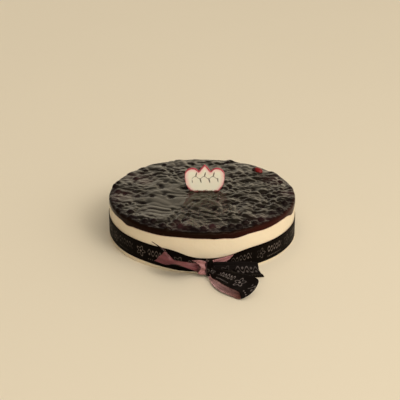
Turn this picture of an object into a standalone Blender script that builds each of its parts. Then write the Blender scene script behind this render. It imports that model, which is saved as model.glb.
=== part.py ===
"""A whole round cheesecake with a glazed berry layer, a standing plaque and a ribbon tied round it.

Units are metres and +Z is up. The origin is the middle of the flat base that the cake rests on,
and the bow is at the front, towards -Y. Angles are in degrees, counted from +X towards +Y.
"""

import math

import bpy
import bmesh
import numpy as np
from mathutils.geometry import delaunay_2d_cdt

MM = 0.001
GAP = 0.3 * MM  # clear space between pieces that touch
POCKET_EASE = 1.1  # a pocket's margin over the gap, as its flat facets cut corners

# The cake
CAKE_RADIUS = 100.0 * MM
FILLING_HEIGHT = 38.7 * MM
GLAZE_LEVEL = 45.3 * MM  # surface of the glaze between its berries
GLAZE_PROUD = 0.1 * MM  # how far the glaze's side stands out over the filling's
BASE_CHAMFER = 1.0 * MM
# Rings of the glaze's rounded edge: how far in from the side, how far under its level, and how much of
# the edge's roll each one takes
SHOULDER_RINGS = (
    (0.0, 2.6 * MM, 0.5),
    (0.9 * MM, 0.9 * MM, 1.0),
    (3.5 * MM, -0.1 * MM, 1.0),
)
BERRY_MARGIN = 5.4 * MM  # how far in from the side the berries under the glaze stop
BERRY_BED = 0.6 * MM  # least glaze under a rim berry
BERRY_FLATNESS = 0.94  # a rim berry's width as a share of its length
RIM_SEGMENTS = 96
SEAT_RADIUS = 90.0 * MM  # inside this circle the filling's top is level
# Where the glaze has run down over the filling: angle, half width in degrees, depth
RUNS = (
    (219.5, 4.0, 1.9 * MM),
    (242.0, 9.0, 0.9 * MM),
    (278.0, 4.0, 1.2 * MM),
    (289.0, 7.5, 2.5 * MM),
    (342.0, 6.0, 4.3 * MM),
    (28.0, 5.0, 1.7 * MM),
    (83.0, 4.5, 1.4 * MM),
    (137.0, 6.0, 2.1 * MM),
    (176.0, 4.0, 1.2 * MM),
)

# The berries under the glaze
BERRY_SEED = 11
BERRY_PITCH = 9.2 * MM
BERRY_SHIFT = 1.6 * MM  # how far a berry lies from its place in the even pattern
BERRY_RISE = 2.5 * MM  # the most that a berry lifts the glaze
LEAST_RISE = 0.2  # the least that a berry lifts it, as a share of the most
FOOT_SHARE = 0.3  # how much of its rise a berry keeps at the plaque's foot
RIM_CLEARANCE = 0.75  # no other berry is nearer to a rim berry than this many pitches
CALM_MIDDLE = (-42.0 * MM, -6.0 * MM)  # where the glaze lies calm over its berries
CALM_REACH = (44.0 * MM, 46.0 * MM)
CALMNESS = 0.65
VALLEY_SHARE = 0.3  # depth of the dip between berries, as a share of their rise
# Berries that stand out round the rim: angle, distance from the middle, radius
RIM_BERRIES = (
    (201.3, 91.5 * MM, 5.0 * MM),
    (213.0, 88.0 * MM, 4.7 * MM),
    (230.5, 91.5 * MM, 4.4 * MM),
    (235.0, 86.0 * MM, 5.2 * MM),
    (244.0, 90.3 * MM, 4.7 * MM),
    (250.2, 77.0 * MM, 5.1 * MM),
    (255.6, 86.5 * MM, 4.8 * MM),
    (256.6, 71.5 * MM, 4.6 * MM),
    (263.0, 87.5 * MM, 5.0 * MM),
    (270.6, 89.0 * MM, 4.7 * MM),
    (277.0, 84.5 * MM, 5.1 * MM),
    (284.5, 91.5 * MM, 4.5 * MM),
    (289.7, 88.0 * MM, 4.6 * MM),
    (294.5, 91.5 * MM, 4.5 * MM),
    (300.8, 86.5 * MM, 5.0 * MM),
    (306.0, 92.0 * MM, 4.5 * MM),
    (312.5, 90.0 * MM, 5.0 * MM),
    (333.5, 91.0 * MM, 4.6 * MM),
    (343.5, 91.5 * MM, 4.7 * MM),
    (19.5, 91.0 * MM, 5.0 * MM),
    (71.6, 91.5 * MM, 5.2 * MM),
    (97.0, 88.0 * MM, 4.6 * MM),
    (118.0, 91.0 * MM, 5.0 * MM),
    (135.0, 90.0 * MM, 5.2 * MM),
    (151.0, 83.5 * MM, 4.7 * MM),
    (177.0, 91.0 * MM, 5.0 * MM),
)
# How the rim swells at the back: angle, half width in degrees, rise
BACK_SWELLINGS = (
    (9.0, 5.0, 1.2 * MM),
    (34.0, 5.0, 2.2 * MM),
    (70.3, 3.0, 2.2 * MM),
    (95.0, 4.0, 0.9 * MM),
    (107.0, 5.0, -0.6 * MM),
    (125.0, 7.0, 1.7 * MM),
)
RIM_BERRY_SHOWING = 2.5 * MM  # height of a rim berry's top over the glaze, at the front
RIM_BERRY_SINK = 1.3 * MM  # how much less of it shows at the back
RIM_BERRY_TWIST = 20.0  # each rim berry is turned this much more than the one before
LONGEST_SPAN = 1.55  # berries further apart than this many pitches have no dip between them
SADDLE_SHARE = 0.25  # height of the saddle between two berries, as a share of the lower one's rise

# The bare red berry sunk in the rim at the back
RED_BERRY_ANGLE = 45.0
RED_BERRY_DISTANCE = 88.4 * MM
RED_BERRY_LENGTH = 15.0 * MM  # along the rim
RED_BERRY_WIDTH = 9.0 * MM
RED_BERRY_HEIGHT = 7.6 * MM
RED_BERRY_MIDDLE = 45.1 * MM

# The plaque: a round-bottomed plate with two lobes and a pointed middle, pressed upright into the glaze
PLAQUE_X = 2.9 * MM
PLAQUE_Y = 4.6 * MM
PLAQUE_THICKNESS = 2.0 * MM
PLAQUE_HALF_WIDTH = 21.4 * MM
PLAQUE_BELLY_HEIGHT = 24.0 * MM
BELLY_FULLNESS = 0.8  # 1 makes the belly half an ellipse, less makes it fuller
PLAQUE_MIDDLE = 65.0 * MM
LOBE_RADIUS = 8.0 * MM
LOBE_MIDDLE = 64.4 * MM
LOBE_OFFSET = 13.4 * MM
NOTCH_HEIGHT = 68.4 * MM
TIP_HEIGHT = 76.0 * MM
TIP_FULLNESS = 0.8  # 1 makes the middle's sides straight, less makes them bulge
LOBE_START = 8  # degrees below the level at which a lobe's arc takes over from the belly
BELLY_STEPS, LOBE_STEPS, TIP_STEPS = 10, 9, 5

# The ribbon
RIBBON_THICKNESS = 0.6 * MM
BAND_TOP = 24.4 * MM
BAND_BOTTOM = 3.5 * MM
BAND_TILT = 0.019  # fall of the band towards +X
BAND_SEGMENTS = 96
PINCH_DEPTH = 6.9 * MM  # how far the knot draws the band's top edge down
PINCH_REACH_LEFT = 26.0 * MM
PINCH_REACH_RIGHT = 34.0 * MM
SAG_DEPTH = 1.6 * MM  # how far the bow draws the band's lower edge down
SAG_MIDDLE = -18.0 * MM
SAG_REACH = 22.0 * MM

KNOT_MIDDLE = (7.1 * MM, -107.0 * MM)
KNOT_HALF_WIDTH = 4.7 * MM
KNOT_HALF_DEPTH = 5.0 * MM
KNOT_BOTTOM = 1.4 * MM
KNOT_TOP = 19.3 * MM
KNOT_TAPER = 0.35  # 1 makes the knot an egg, less makes it a blunt roll
KNOT_SIDES, KNOT_LEVELS = 12, 8

# The bow's strips, each one given by its two long edges, in millimetres from the knot outwards
TAIL_LEFT_UPPER = (
    (6.5, -106.0, 16.5),
    (-3.1, -103.6, 14.4),
    (-7.1, -103.4, 13.3),
    (-17.1, -103.2, 14.4),
    (-24.2, -103.0, 15.2),
    (-29.2, -102.0, 16.2),
    (-33.6, -100.9, 21.4),
    (-37.2, -99.7, 25.0),
)
TAIL_LEFT_LOWER = (
    (6.5, -106.5, 3.5),
    (-3.1, -105.5, 4.0),
    (-7.1, -109.5, 7.8),
    (-16.9, -118.0, 15.9),
    (-23.8, -120.0, 19.7),
    (-28.8, -118.0, 19.5),
    (-36.0, -111.5, 15.6),
    (-47.8, -101.0, 14.9),
)
# The sharp corner of the left tail that stands up in front of the filling
POINT_UPPER = ((-32.8, -103.0, 21.4), (-37.2, -99.5, 26.3), (-43.5, -98.6, 30.9), (-50.0, -98.2, 35.2))
POINT_LOWER = ((-34.2, -103.0, 19.6), (-38.4, -99.5, 24.8), (-44.2, -98.6, 30.0), (-50.4, -98.2, 34.8))
PLEAT_LEFT_UPPER = ((6.5, -108.0, 16.6), (-1.0, -108.5, 19.6), (-10.4, -107.4, 18.7))
PLEAT_LEFT_LOWER = ((6.5, -108.5, 4.2), (-0.7, -109.0, 4.0), (-4.1, -108.5, 4.9))
PLEAT_RIGHT_UPPER = ((6.5, -104.0, 16.0), (16.0, -103.5, 18.4), (31.8, -99.8, 21.4))
PLEAT_RIGHT_LOWER = ((6.5, -104.0, 4.0), (13.0, -104.0, 5.0), (22.0, -101.5, 12.6))
TAIL_RIGHT_UPPER = (
    (6.5, -107.5, 15.5),
    (14.0, -107.0, 16.6),
    (24.0, -107.0, 16.9),
    (40.0, -108.0, 17.9),
    (56.0, -109.0, 17.4),
)
TAIL_RIGHT_LOWER = (
    (6.5, -108.5, 3.0),
    (14.0, -109.5, 1.6),
    (26.0, -110.5, 1.2),
    (44.0, -110.5, 1.2),
    (62.6, -110.0, 2.3),
)
LOOP_LOWER = (
    (6.0, -107.5, 1.9),
    (8.8, -117.8, 1.0),
    (11.2, -128.2, 1.1),
    (17.8, -139.8, 1.1),
    (27.5, -148.6, 1.0),
    (34.7, -154.2, 1.0),
    (37.7, -156.0, 2.8),
    (36.4, -151.9, 5.8),
    (33.4, -149.5, 7.6),
    (28.0, -148.0, 9.0),
    (21.3, -142.0, 9.8),
    (15.6, -130.8, 8.4),
    (9.8, -120.9, 6.4),
    (6.5, -108.5, 7.6),
)
LOOP_UPPER = (
    (6.5, -107.5, 6.2),
    (12.0, -112.5, 8.6),
    (20.0, -119.5, 7.8),
    (31.0, -129.5, 8.6),
    (42.0, -139.0, 10.0),
    (50.0, -145.0, 11.4),
    (54.6, -147.4, 15.4),
    (54.2, -146.2, 18.2),
    (50.6, -143.0, 18.9),
    (46.0, -138.5, 18.5),
    (37.5, -130.5, 16.6),
    (27.0, -120.0, 14.0),
    (17.0, -113.0, 12.2),
    (6.5, -108.5, 14.0),
)
TAIL_RIGHT_BULGE = (0.0, -3.6, 0.0)
PLEAT_BULGE = (0.0, -1.6, 0.0)
LOOP_BULGE = (2.2, -2.4, -1.4)
NOTCH_SHARE = 0.03  # depth of the right tail's notch, as a share of its length
PLEAT_HOLLOW = 0.5  # how far the pleat's end is cut back between its corners


def clear_scene():
    for thing in list(bpy.data.objects):
        bpy.data.objects.remove(thing, do_unlink=True)


def material(name, colour, roughness, coat=0.0, sheen=0.0):
    made = bpy.data.materials.new(name)
    made.use_nodes = True
    shader = made.node_tree.nodes["Principled BSDF"]
    shader.inputs["Base Color"].default_value = (*colour, 1.0)
    shader.inputs["Roughness"].default_value = roughness
    shader.inputs["Metallic"].default_value = 0.0
    shader.inputs["Coat Weight"].default_value = coat
    shader.inputs["Sheen Weight"].default_value = sheen
    made.diffuse_color = (*colour, 1.0)
    return made


def add_object(name, points, faces, finish=None, sharp_over=None):
    """An object from points and faces, shaded smooth where sharp_over gives the largest soft angle."""
    mesh = bpy.data.meshes.new(name)
    mesh.from_pydata([tuple(point) for point in points], [], [tuple(face) for face in faces])
    mesh.validate()
    made = bpy.data.objects.new(name, mesh)
    bpy.context.scene.collection.objects.link(made)
    if finish:
        mesh.materials.append(finish)
    if sharp_over is not None:
        mesh.shade_smooth()
        mesh.set_sharp_from_angle(angle=math.radians(sharp_over))
    return made


def bell(distance, reach):
    """A bump of height 1 that fades out over a reach."""
    return np.exp(-((distance / reach) ** 2))


def turn_between(angles, middle):
    """Angles measured from a middle angle, from -180 to 180 degrees."""
    return (np.asarray(angles, float) - middle + 180.0) % 360.0 - 180.0


def side_radius(angles):
    """The cake's radius at each angle, a little uneven."""
    turn = np.radians(angles)
    uneven = 0.2 * np.cos(2 * turn) - 0.2 + 0.22 * np.sin(3 * turn + 0.6)
    uneven += 0.16 * np.sin(5 * turn + 2.1) + 0.10 * np.sin(11 * turn + 4.0)
    return CAKE_RADIUS + uneven * MM


def glaze_edge(angles):
    """Height of the glaze's lower edge: small waves, and lower where the glaze has run."""
    turn = np.radians(angles)
    waves = 0.35 * np.sin(4 * turn + 1.3) + 0.30 * np.sin(9 * turn + 0.4) + 0.18 * np.sin(17 * turn)
    height = FILLING_HEIGHT + 0.25 * MM + waves * MM
    for middle, reach, depth in RUNS:
        height = height - depth * bell(turn_between(angles, middle), reach)
    return height


def rim_points(angles, radius, height):
    """Points at a radius and height for each angle."""
    turn = np.radians(angles)
    flat = np.stack([radius * np.cos(turn), radius * np.sin(turn)], axis=1)
    return np.column_stack([flat, np.broadcast_to(height, (len(flat),))])


def ring_walls(first, second, count, back_slanted=False):
    """Triangles between two rings of as many points, each square cut along one of its diagonals."""
    faces = []
    for i in range(count):
        j = (i + 1) % count
        if back_slanted:
            faces.append((first + i, first + j, second + i))
            faces.append((first + j, second + j, second + i))
        else:
            faces.append((first + i, first + j, second + j))
            faces.append((first + i, second + j, second + i))
    return faces


def fan(ring, middle, count, upwards):
    """Triangles from a ring to its middle point."""
    faces = []
    for i in range(count):
        j = (i + 1) % count
        faces.append((ring + i, ring + j, middle) if upwards else (ring + j, ring + i, middle))
    return faces


def build_filling(finish):
    angles = np.arange(RIM_SEGMENTS) * 360.0 / RIM_SEGMENTS
    outside = side_radius(angles)
    rings = (
        rim_points(angles, outside - BASE_CHAMFER, 0.0),
        rim_points(angles, outside, BASE_CHAMFER),
        rim_points(angles, outside, glaze_edge(angles) - GAP),
        rim_points(angles, SEAT_RADIUS, FILLING_HEIGHT - GAP),
    )
    count = RIM_SEGMENTS
    points = list(np.concatenate(rings)) + [(0.0, 0.0, 0.0), (0.0, 0.0, FILLING_HEIGHT - GAP)]
    low_middle, high_middle = 4 * count, 4 * count + 1
    faces = fan(0, low_middle, count, False)
    for ring in range(3):
        faces += ring_walls(ring * count, (ring + 1) * count, count)
    faces += fan(3 * count, high_middle, count, True)
    return add_object("filling", points, faces, finish, 30)


def berry_places():
    """Places and rises of the berries under the glaze: a hexagonal pattern, each berry moved by chance."""
    draw = np.random.default_rng(BERRY_SEED)
    reach = CAKE_RADIUS - BERRY_MARGIN
    row_step = BERRY_PITCH * math.sqrt(3) / 2
    rows = int(reach / row_step) + 1
    columns = int(reach / BERRY_PITCH) + 1
    row, column = np.meshgrid(np.arange(-rows, rows + 1), np.arange(-columns, columns + 1), indexing="ij")
    x = (column + 0.5 * (row % 2)) * BERRY_PITCH
    y = row * row_step
    places = np.stack([x.ravel(), y.ravel()], axis=1)
    places += draw.uniform(-BERRY_SHIFT, BERRY_SHIFT, places.shape)
    chance = draw.random(len(places))
    rises = BERRY_RISE * (LEAST_RISE + (1 - LEAST_RISE) * chance**1.5) * crinkle(places)
    kept = np.hypot(places[:, 0], places[:, 1]) < reach
    rises *= np.where(distance_to_foot(places) < 0.5 * BERRY_PITCH, FOOT_SHARE, 1.0)
    for angle, distance, _ in RIM_BERRIES:
        kept &= np.hypot(*(places - spot(angle, distance)).T) > RIM_CLEARANCE * BERRY_PITCH
    return places[kept], rises[kept]


def spot(angle, distance):
    """A place on the top, from its angle and its distance from the middle."""
    return distance * np.array([math.cos(math.radians(angle)), math.sin(math.radians(angle))])


def distance_to_foot(places):
    """How far each place is from the line on which the plaque stands."""
    beside = np.maximum(np.abs(places[:, 0] - PLAQUE_X) - PLAQUE_HALF_WIDTH / 2, 0.0)
    return np.hypot(beside, places[:, 1] - PLAQUE_Y)


def crinkle(places):
    """How strongly the glaze is lifted: calm in an oval left of the middle, lively at the right and at
    the front rim, and lower again at the back rim."""
    x, y = places[:, 0], places[:, 1]
    calm = bell(np.hypot((x - CALM_MIDDLE[0]) / CALM_REACH[0], (y - CALM_MIDDLE[1]) / CALM_REACH[1]), 1.0)
    rim = np.clip((np.hypot(x, y) - 70 * MM) / (25 * MM), 0, 1)
    back = np.clip((y - 10 * MM) / (50 * MM), 0, 1)
    return np.clip(0.95 - CALMNESS * calm + 0.2 * rim - 0.6 * rim * back, 0.25, 1.15)


def triangles_between(places):
    """Index triples of the triangles between flat points."""
    flat = [tuple(place) for place in places]
    _, _, faces, original, _, _ = delaunay_2d_cdt(flat, [], [], 0, 1e-7)
    return [[original[i][0] for i in face] for face in faces]


def glaze_points():
    """The glaze's upper points: a top on each berry, a valley between three and a saddle between two."""
    places, rises = berry_places()
    rim = np.array([spot(angle, distance) for angle, distance, _ in RIM_BERRIES])
    places, rises = np.concatenate([places, rim]), np.concatenate([rises, np.zeros(len(rim))])
    valleys, saddles = [], {}
    for a, b, c in triangles_between(places):
        corners = places[[a, b, c]]
        longest = max(np.linalg.norm(corners[i] - corners[i - 1]) for i in range(3))
        if longest > LONGEST_SPAN * BERRY_PITCH:
            continue
        valleys.append((*corners.mean(axis=0), GLAZE_LEVEL - VALLEY_SHARE * rises[[a, b, c]].mean()))
        for i, j in ((a, b), (b, c), (c, a)):
            middle = (places[i] + places[j]) / 2
            lift = SADDLE_SHARE * min(rises[i], rises[j])
            saddles[min(i, j), max(i, j)] = (*middle, GLAZE_LEVEL + lift)
    tops = np.column_stack([places, GLAZE_LEVEL + rises])
    return np.concatenate([tops, np.array(valleys), np.array(list(saddles.values()))])


def berry_ball(name, middle, size, turn, detail, floor=0.0):
    """A ball of few sides, stretched to three half sizes, turned about Z and flattened at a floor height."""
    body = bmesh.new()
    bmesh.ops.create_icosphere(body, subdivisions=detail, radius=1.0)
    points = np.array([vertex.co for vertex in body.verts]) * size
    faces = [[vertex.index for vertex in face.verts] for face in body.faces]
    body.free()
    cosine, sine = math.cos(math.radians(turn)), math.sin(math.radians(turn))
    turned = points @ np.array([[cosine, sine, 0.0], [-sine, cosine, 0.0], [0.0, 0.0, 1.0]])
    placed = turned + middle
    placed[:, 2] = np.maximum(placed[:, 2], floor)
    return add_object(name, placed, faces)


def joined(base, pieces, operation):
    """The base with pieces joined to it or cut from it, as one body without scraps or sealed hollows."""
    group = bpy.data.collections.new(base.name + "_pieces")
    bpy.context.scene.collection.children.link(group)
    for piece in pieces:
        bpy.context.scene.collection.objects.unlink(piece)
        group.objects.link(piece)
    change = base.modifiers.new("join", "BOOLEAN")
    change.operation = operation
    change.operand_type = "COLLECTION"
    change.collection = group
    change.solver = "EXACT"
    result = bpy.data.meshes.new_from_object(base.evaluated_get(bpy.context.evaluated_depsgraph_get()))
    base.modifiers.clear()
    base.data = result
    for piece in pieces:
        bpy.data.objects.remove(piece, do_unlink=True)
    bpy.data.collections.remove(group)
    keep_largest_body(result)
    return base


def keep_largest_body(mesh):
    """Drops every loose shell of a mesh but the one with the most faces."""
    body = bmesh.new()
    body.from_mesh(mesh)
    left = set(body.faces)
    shells = []
    while left:
        shell, edge = set(), [next(iter(left))]
        while edge:
            face = edge.pop()
            if face in shell:
                continue
            shell.add(face)
            edge += [other for side in face.edges for other in side.link_faces if other not in shell]
        left -= shell
        shells.append(shell)
    largest = max(shells, key=len)
    extra = [face for shell in shells if shell is not largest for face in shell]
    bmesh.ops.delete(body, geom=extra, context="FACES")
    body.to_mesh(mesh)
    body.free()


def rim_roll(angles):
    """How much higher or lower the rounded edge runs at each angle: slow waves, and the swellings and
    hollows at the back."""
    turn = np.radians(angles)
    roll = (0.35 * np.sin(7 * turn + 1.0) + 0.3 * np.sin(13 * turn + 2.0)) * MM
    for middle, reach, rise in BACK_SWELLINGS:
        roll = roll + rise * bell(turn_between(angles, middle), reach)
    return roll


def rim_berries():
    """Balls for the berries that stand out round the rim, sunk deeper towards the back."""
    berries = []
    for number, (angle, distance, radius) in enumerate(RIM_BERRIES):
        showing = RIM_BERRY_SHOWING - RIM_BERRY_SINK * (1 + math.sin(math.radians(angle))) / 2
        middle = (*spot(angle, distance), GLAZE_LEVEL + showing - radius)
        size = (radius, radius * BERRY_FLATNESS, radius)
        turn = angle + RIM_BERRY_TWIST * number
        berries.append(berry_ball(f"rim_berry_{number}", middle, size, turn, 2, FILLING_HEIGHT + BERRY_BED))
    return berries


def build_topping(finish):
    angles = np.arange(RIM_SEGMENTS) * 360.0 / RIM_SEGMENTS
    outside = side_radius(angles) + GLAZE_PROUD
    count = RIM_SEGMENTS
    rings = [rim_points(angles, outside, glaze_edge(angles))]
    for inset, drop, share in SHOULDER_RINGS:
        rings.append(rim_points(angles, outside - inset, GLAZE_LEVEL - drop + share * rim_roll(angles)))
    upper = glaze_points()
    rim = rings[-1]
    flat = [tuple(point[:2]) for point in np.concatenate([rim, upper])]
    _, _, surface, original, _, _ = delaunay_2d_cdt(flat, [], [list(range(count))], 1, 1e-7)
    under = (rim_points(angles, SEAT_RADIUS, FILLING_HEIGHT), np.array([[0.0, 0.0, FILLING_HEIGHT]]))
    points = np.concatenate([*rings, upper, *under])
    first_rim = len(SHOULDER_RINGS) * count
    faces = [[first_rim + original[i][0] for i in face] for face in surface]
    for ring in range(len(SHOULDER_RINGS)):
        faces += ring_walls(ring * count, (ring + 1) * count, count)
    under_ring = first_rim + count + len(upper)
    faces += ring_walls(under_ring, 0, count, back_slanted=True)  # as the filling's top below it
    faces += fan(under_ring, under_ring + count, count, False)
    topping = add_object("topping", points, faces)
    joined(topping, rim_berries(), "UNION")
    pockets = [plaque_plate("plaque_pocket", GAP), red_berry_ball("berry_pocket", GAP)]
    joined(topping, pockets, "DIFFERENCE")
    topping.data.materials.clear()
    topping.data.materials.append(finish)
    topping.data.shade_smooth()
    topping.data.set_sharp_from_angle(angle=math.radians(50))
    return topping


def red_berry_ball(name, margin):
    """The red berry, its long side along the rim, or with a margin the pocket that it sits in."""
    middle = (*spot(RED_BERRY_ANGLE, RED_BERRY_DISTANCE), RED_BERRY_MIDDLE)
    sizes = (RED_BERRY_WIDTH, RED_BERRY_LENGTH, RED_BERRY_HEIGHT)
    half = [size / 2 + POCKET_EASE * margin for size in sizes]
    return berry_ball(name, middle, half, RED_BERRY_ANGLE, 3)


def arc_steps(first, last, steps):
    """Turns in radians from a first to a last angle in degrees, in even steps."""
    return [math.radians(first + (last - first) * step / steps) for step in range(steps + 1)]


def plaque_outline():
    """Half of the plaque's outline about its middle line, from its lowest point up the +X side to its
    tip: a full belly, the arc of a lobe down to the notch, and the side of the pointed middle."""
    notch_rise = NOTCH_HEIGHT - LOBE_MIDDLE
    notch_turn = 180 - math.degrees(math.asin(notch_rise / LOBE_RADIUS))
    half = []
    for turn in arc_steps(90, LOBE_START, BELLY_STEPS):
        x = PLAQUE_HALF_WIDTH * math.cos(turn) ** BELLY_FULLNESS
        half.append((x, PLAQUE_MIDDLE - PLAQUE_BELLY_HEIGHT * math.sin(turn) ** BELLY_FULLNESS))
    for turn in arc_steps(-LOBE_START, notch_turn, LOBE_STEPS):
        x = LOBE_OFFSET + LOBE_RADIUS * math.cos(turn)
        half.append((x, LOBE_MIDDLE + LOBE_RADIUS * math.sin(turn)))
    notch_half_width = half[-1][0]
    for step in range(1, TIP_STEPS + 1):
        share = step / TIP_STEPS
        height = NOTCH_HEIGHT + share * (TIP_HEIGHT - NOTCH_HEIGHT)
        half.append((notch_half_width * (1 - share) ** TIP_FULLNESS, height))
    return half


def plaque_plate(name, margin):
    """The plaque as an extruded outline, or with a margin the slot that holds its foot."""
    half = plaque_outline()
    outline = half + [(-x, z) for x, z in reversed(half[1:-1])]
    middle = np.array([0.0, PLAQUE_MIDDLE])
    flat = np.array(outline)
    outward = flat - middle
    outward /= np.linalg.norm(outward, axis=1)[:, None]
    flat = flat + outward * margin * POCKET_EASE
    depth = PLAQUE_THICKNESS / 2 + margin
    count = len(flat)
    front = [(PLAQUE_X + x, PLAQUE_Y - depth, z) for x, z in flat]
    back = [(PLAQUE_X + x, PLAQUE_Y + depth, z) for x, z in flat]
    faces = [list(range(count)), list(range(2 * count - 1, count - 1, -1))]
    for i in range(count):
        j = (i + 1) % count
        faces.append((j, i, count + i, count + j))
    return add_object(name, front + back, faces)


def band_edges(angles):
    """Heights of the band's lower and upper edge, both drawn in where the knot gathers the ribbon."""
    x = CAKE_RADIUS * np.cos(np.radians(angles))
    front = np.sin(np.radians(angles)) < 0
    reach = np.where(x < KNOT_MIDDLE[0], PINCH_REACH_LEFT, PINCH_REACH_RIGHT)
    pinch = np.exp(-(np.abs(x - KNOT_MIDDLE[0] / 2) / reach) ** 3) * front
    sag = bell(x - SAG_MIDDLE, SAG_REACH) * front
    upper = BAND_TOP - BAND_TILT * x - PINCH_DEPTH * pinch
    lower = BAND_BOTTOM - BAND_TILT * x - SAG_DEPTH * sag
    return lower, upper


def build_band(finish):
    angles = np.arange(BAND_SEGMENTS) * 360.0 / BAND_SEGMENTS
    inside = side_radius(angles) + GAP
    outside = inside + RIBBON_THICKNESS
    lower, upper = band_edges(angles)
    rings = (
        rim_points(angles, inside, lower),
        rim_points(angles, outside, lower),
        rim_points(angles, outside, upper),
        rim_points(angles, inside, upper),
    )
    count = BAND_SEGMENTS
    faces = []
    for ring in range(4):
        faces += ring_walls(ring * count, (ring + 1) % 4 * count, count)
    return add_object("ribbon_band", np.concatenate(rings), faces, finish, 30)


def curve_through(points, places):
    """Points on the smooth curve through the given points, at places from 0 to 1 along their order."""
    points = np.asarray(points, float)
    ends = np.concatenate([[2 * points[0] - points[1]], points, [2 * points[-1] - points[-2]]])
    spans = len(points) - 1
    span = np.minimum((places * spans).astype(int), spans - 1)
    t = (places * spans - span)[..., None]
    a, b, c, d = (ends[span + k] for k in range(4))
    return b + 0.5 * t * (c - a + t * (2 * a - 5 * b + 4 * c - d + t * (3 * (b - c) + d - a)))


def strip(name, upper, lower, sections, bulge=(0.0, 0.0, 0.0), cut_back=None, across=3, returns=False):
    """A length of ribbon between two edges. bulge moves its middle line, most at its far end, or at
    half its length if it returns to the knot. cut_back(share) gives how much shorter it is at a share
    of its width."""
    share = np.linspace(0, 1, across + 1)
    length = np.ones(across + 1) if cut_back is None else 1 - cut_back(share)
    place = np.linspace(0, 1, sections)[:, None] * length[None, :]
    high, low = curve_through(upper, place), curve_through(lower, place)
    width = share[None, :, None]
    growth = np.sin(np.pi * place) ** 3 if returns else np.sin(np.pi * place**0.7 / 2)
    surface = high + (low - high) * width + 4 * width * (1 - width) * growth[..., None] * bulge
    points = surface.reshape(-1, 3) * MM
    side = across + 1
    faces = []
    for i in range(sections - 1):
        for j in range(across):
            corner = i * side + j
            faces.append((corner, corner + 1, corner + side + 1, corner + side))
    made = add_object(name, points, faces)
    wall = made.modifiers.new("thickness", "SOLIDIFY")
    wall.thickness = RIBBON_THICKNESS
    wall.offset = 0.0
    wall.use_even_offset = False
    return made


def notch(share):
    return NOTCH_SHARE * (1 - np.abs(2 * share - 0.9)).clip(0, 1)


def hollow(share):
    return PLEAT_HOLLOW * (1 - np.abs(2 * share - 1) ** 1.5)


def knot_body(name):
    """The knot: rounded sections stacked from its lower to its upper end."""
    sides, levels = KNOT_SIDES, KNOT_LEVELS
    points = []
    for level in range(levels):
        turn = math.pi * (level + 0.5) / levels
        height = KNOT_BOTTOM + (KNOT_TOP - KNOT_BOTTOM) * (1 - math.cos(turn)) / 2
        girth = math.sin(turn) ** KNOT_TAPER
        for side in range(sides):
            way = 2 * math.pi * side / sides
            x = KNOT_MIDDLE[0] + KNOT_HALF_WIDTH * girth * math.cos(way)
            y = KNOT_MIDDLE[1] + KNOT_HALF_DEPTH * girth * math.sin(way)
            points.append((x, y, height))
    top, bottom = len(points), len(points) + 1
    points += [(*KNOT_MIDDLE, KNOT_TOP), (*KNOT_MIDDLE, KNOT_BOTTOM)]
    faces = []
    for level in range(levels - 1):
        faces += ring_walls(level * sides, (level + 1) * sides, sides)
    faces += fan((levels - 1) * sides, top, sides, True)
    faces += fan(0, bottom, sides, False)
    return add_object(name, points, faces)


def build_bow(finish):
    knot = knot_body("ribbon_bow")
    strips = [
        strip("tail_left", TAIL_LEFT_UPPER, TAIL_LEFT_LOWER, 18),
        strip("tail_point", POINT_UPPER, POINT_LOWER, 7, across=1),
        strip("pleat_left", PLEAT_LEFT_UPPER, PLEAT_LEFT_LOWER, 6, PLEAT_BULGE, hollow, 4),
        strip("pleat_right", PLEAT_RIGHT_UPPER, PLEAT_RIGHT_LOWER, 6, PLEAT_BULGE),
        strip("tail_right", TAIL_RIGHT_UPPER, TAIL_RIGHT_LOWER, 12, TAIL_RIGHT_BULGE, notch, 4),
        strip("loop", LOOP_UPPER, LOOP_LOWER, 34, LOOP_BULGE, returns=True),
    ]
    bow = joined(knot, strips, "UNION")
    bow.data.materials.clear()
    bow.data.materials.append(finish)
    bow.data.shade_smooth()
    bow.data.set_sharp_from_angle(angle=math.radians(40))
    return bow


def build_all():
    clear_scene()
    cream = material("cream", (0.78, 0.62, 0.42), 0.5)
    glaze = material("berry_glaze", (0.028, 0.012, 0.010), 0.16, coat=0.6)
    red_skin = material("red_berry", (0.16, 0.018, 0.014), 0.2, coat=0.5)
    sugar = material("plaque", (0.76, 0.68, 0.52), 0.6)
    satin = material("black_satin", (0.010, 0.007, 0.006), 0.35, sheen=0.3)
    build_filling(cream)
    build_topping(glaze)
    red_berry = red_berry_ball("red_berry", 0.0)
    red_berry.data.materials.append(red_skin)
    red_berry.data.shade_smooth()
    plaque = plaque_plate("plaque", 0.0)
    plaque.data.materials.append(sugar)
    build_band(satin)
    build_bow(satin)


build_all()
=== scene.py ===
"""The looks of a whole round cheesecake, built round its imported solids.

Metres, +Z up. The origin is the middle of the flat base, and the bow is at the front, towards -Y.
Angles are in degrees, counted from +X towards +Y. Each new piece is a grid of points, worked out as
whole arrays from the sizes below, which are those of the solids that it stands for.
"""

import math

import bpy
import numpy as np
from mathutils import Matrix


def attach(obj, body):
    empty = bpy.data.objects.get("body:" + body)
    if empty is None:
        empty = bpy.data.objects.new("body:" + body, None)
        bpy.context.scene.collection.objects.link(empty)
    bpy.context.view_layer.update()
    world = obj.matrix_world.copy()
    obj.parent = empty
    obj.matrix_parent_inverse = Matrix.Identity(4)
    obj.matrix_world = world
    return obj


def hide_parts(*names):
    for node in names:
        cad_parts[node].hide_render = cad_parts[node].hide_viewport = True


MM = 0.001

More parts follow.
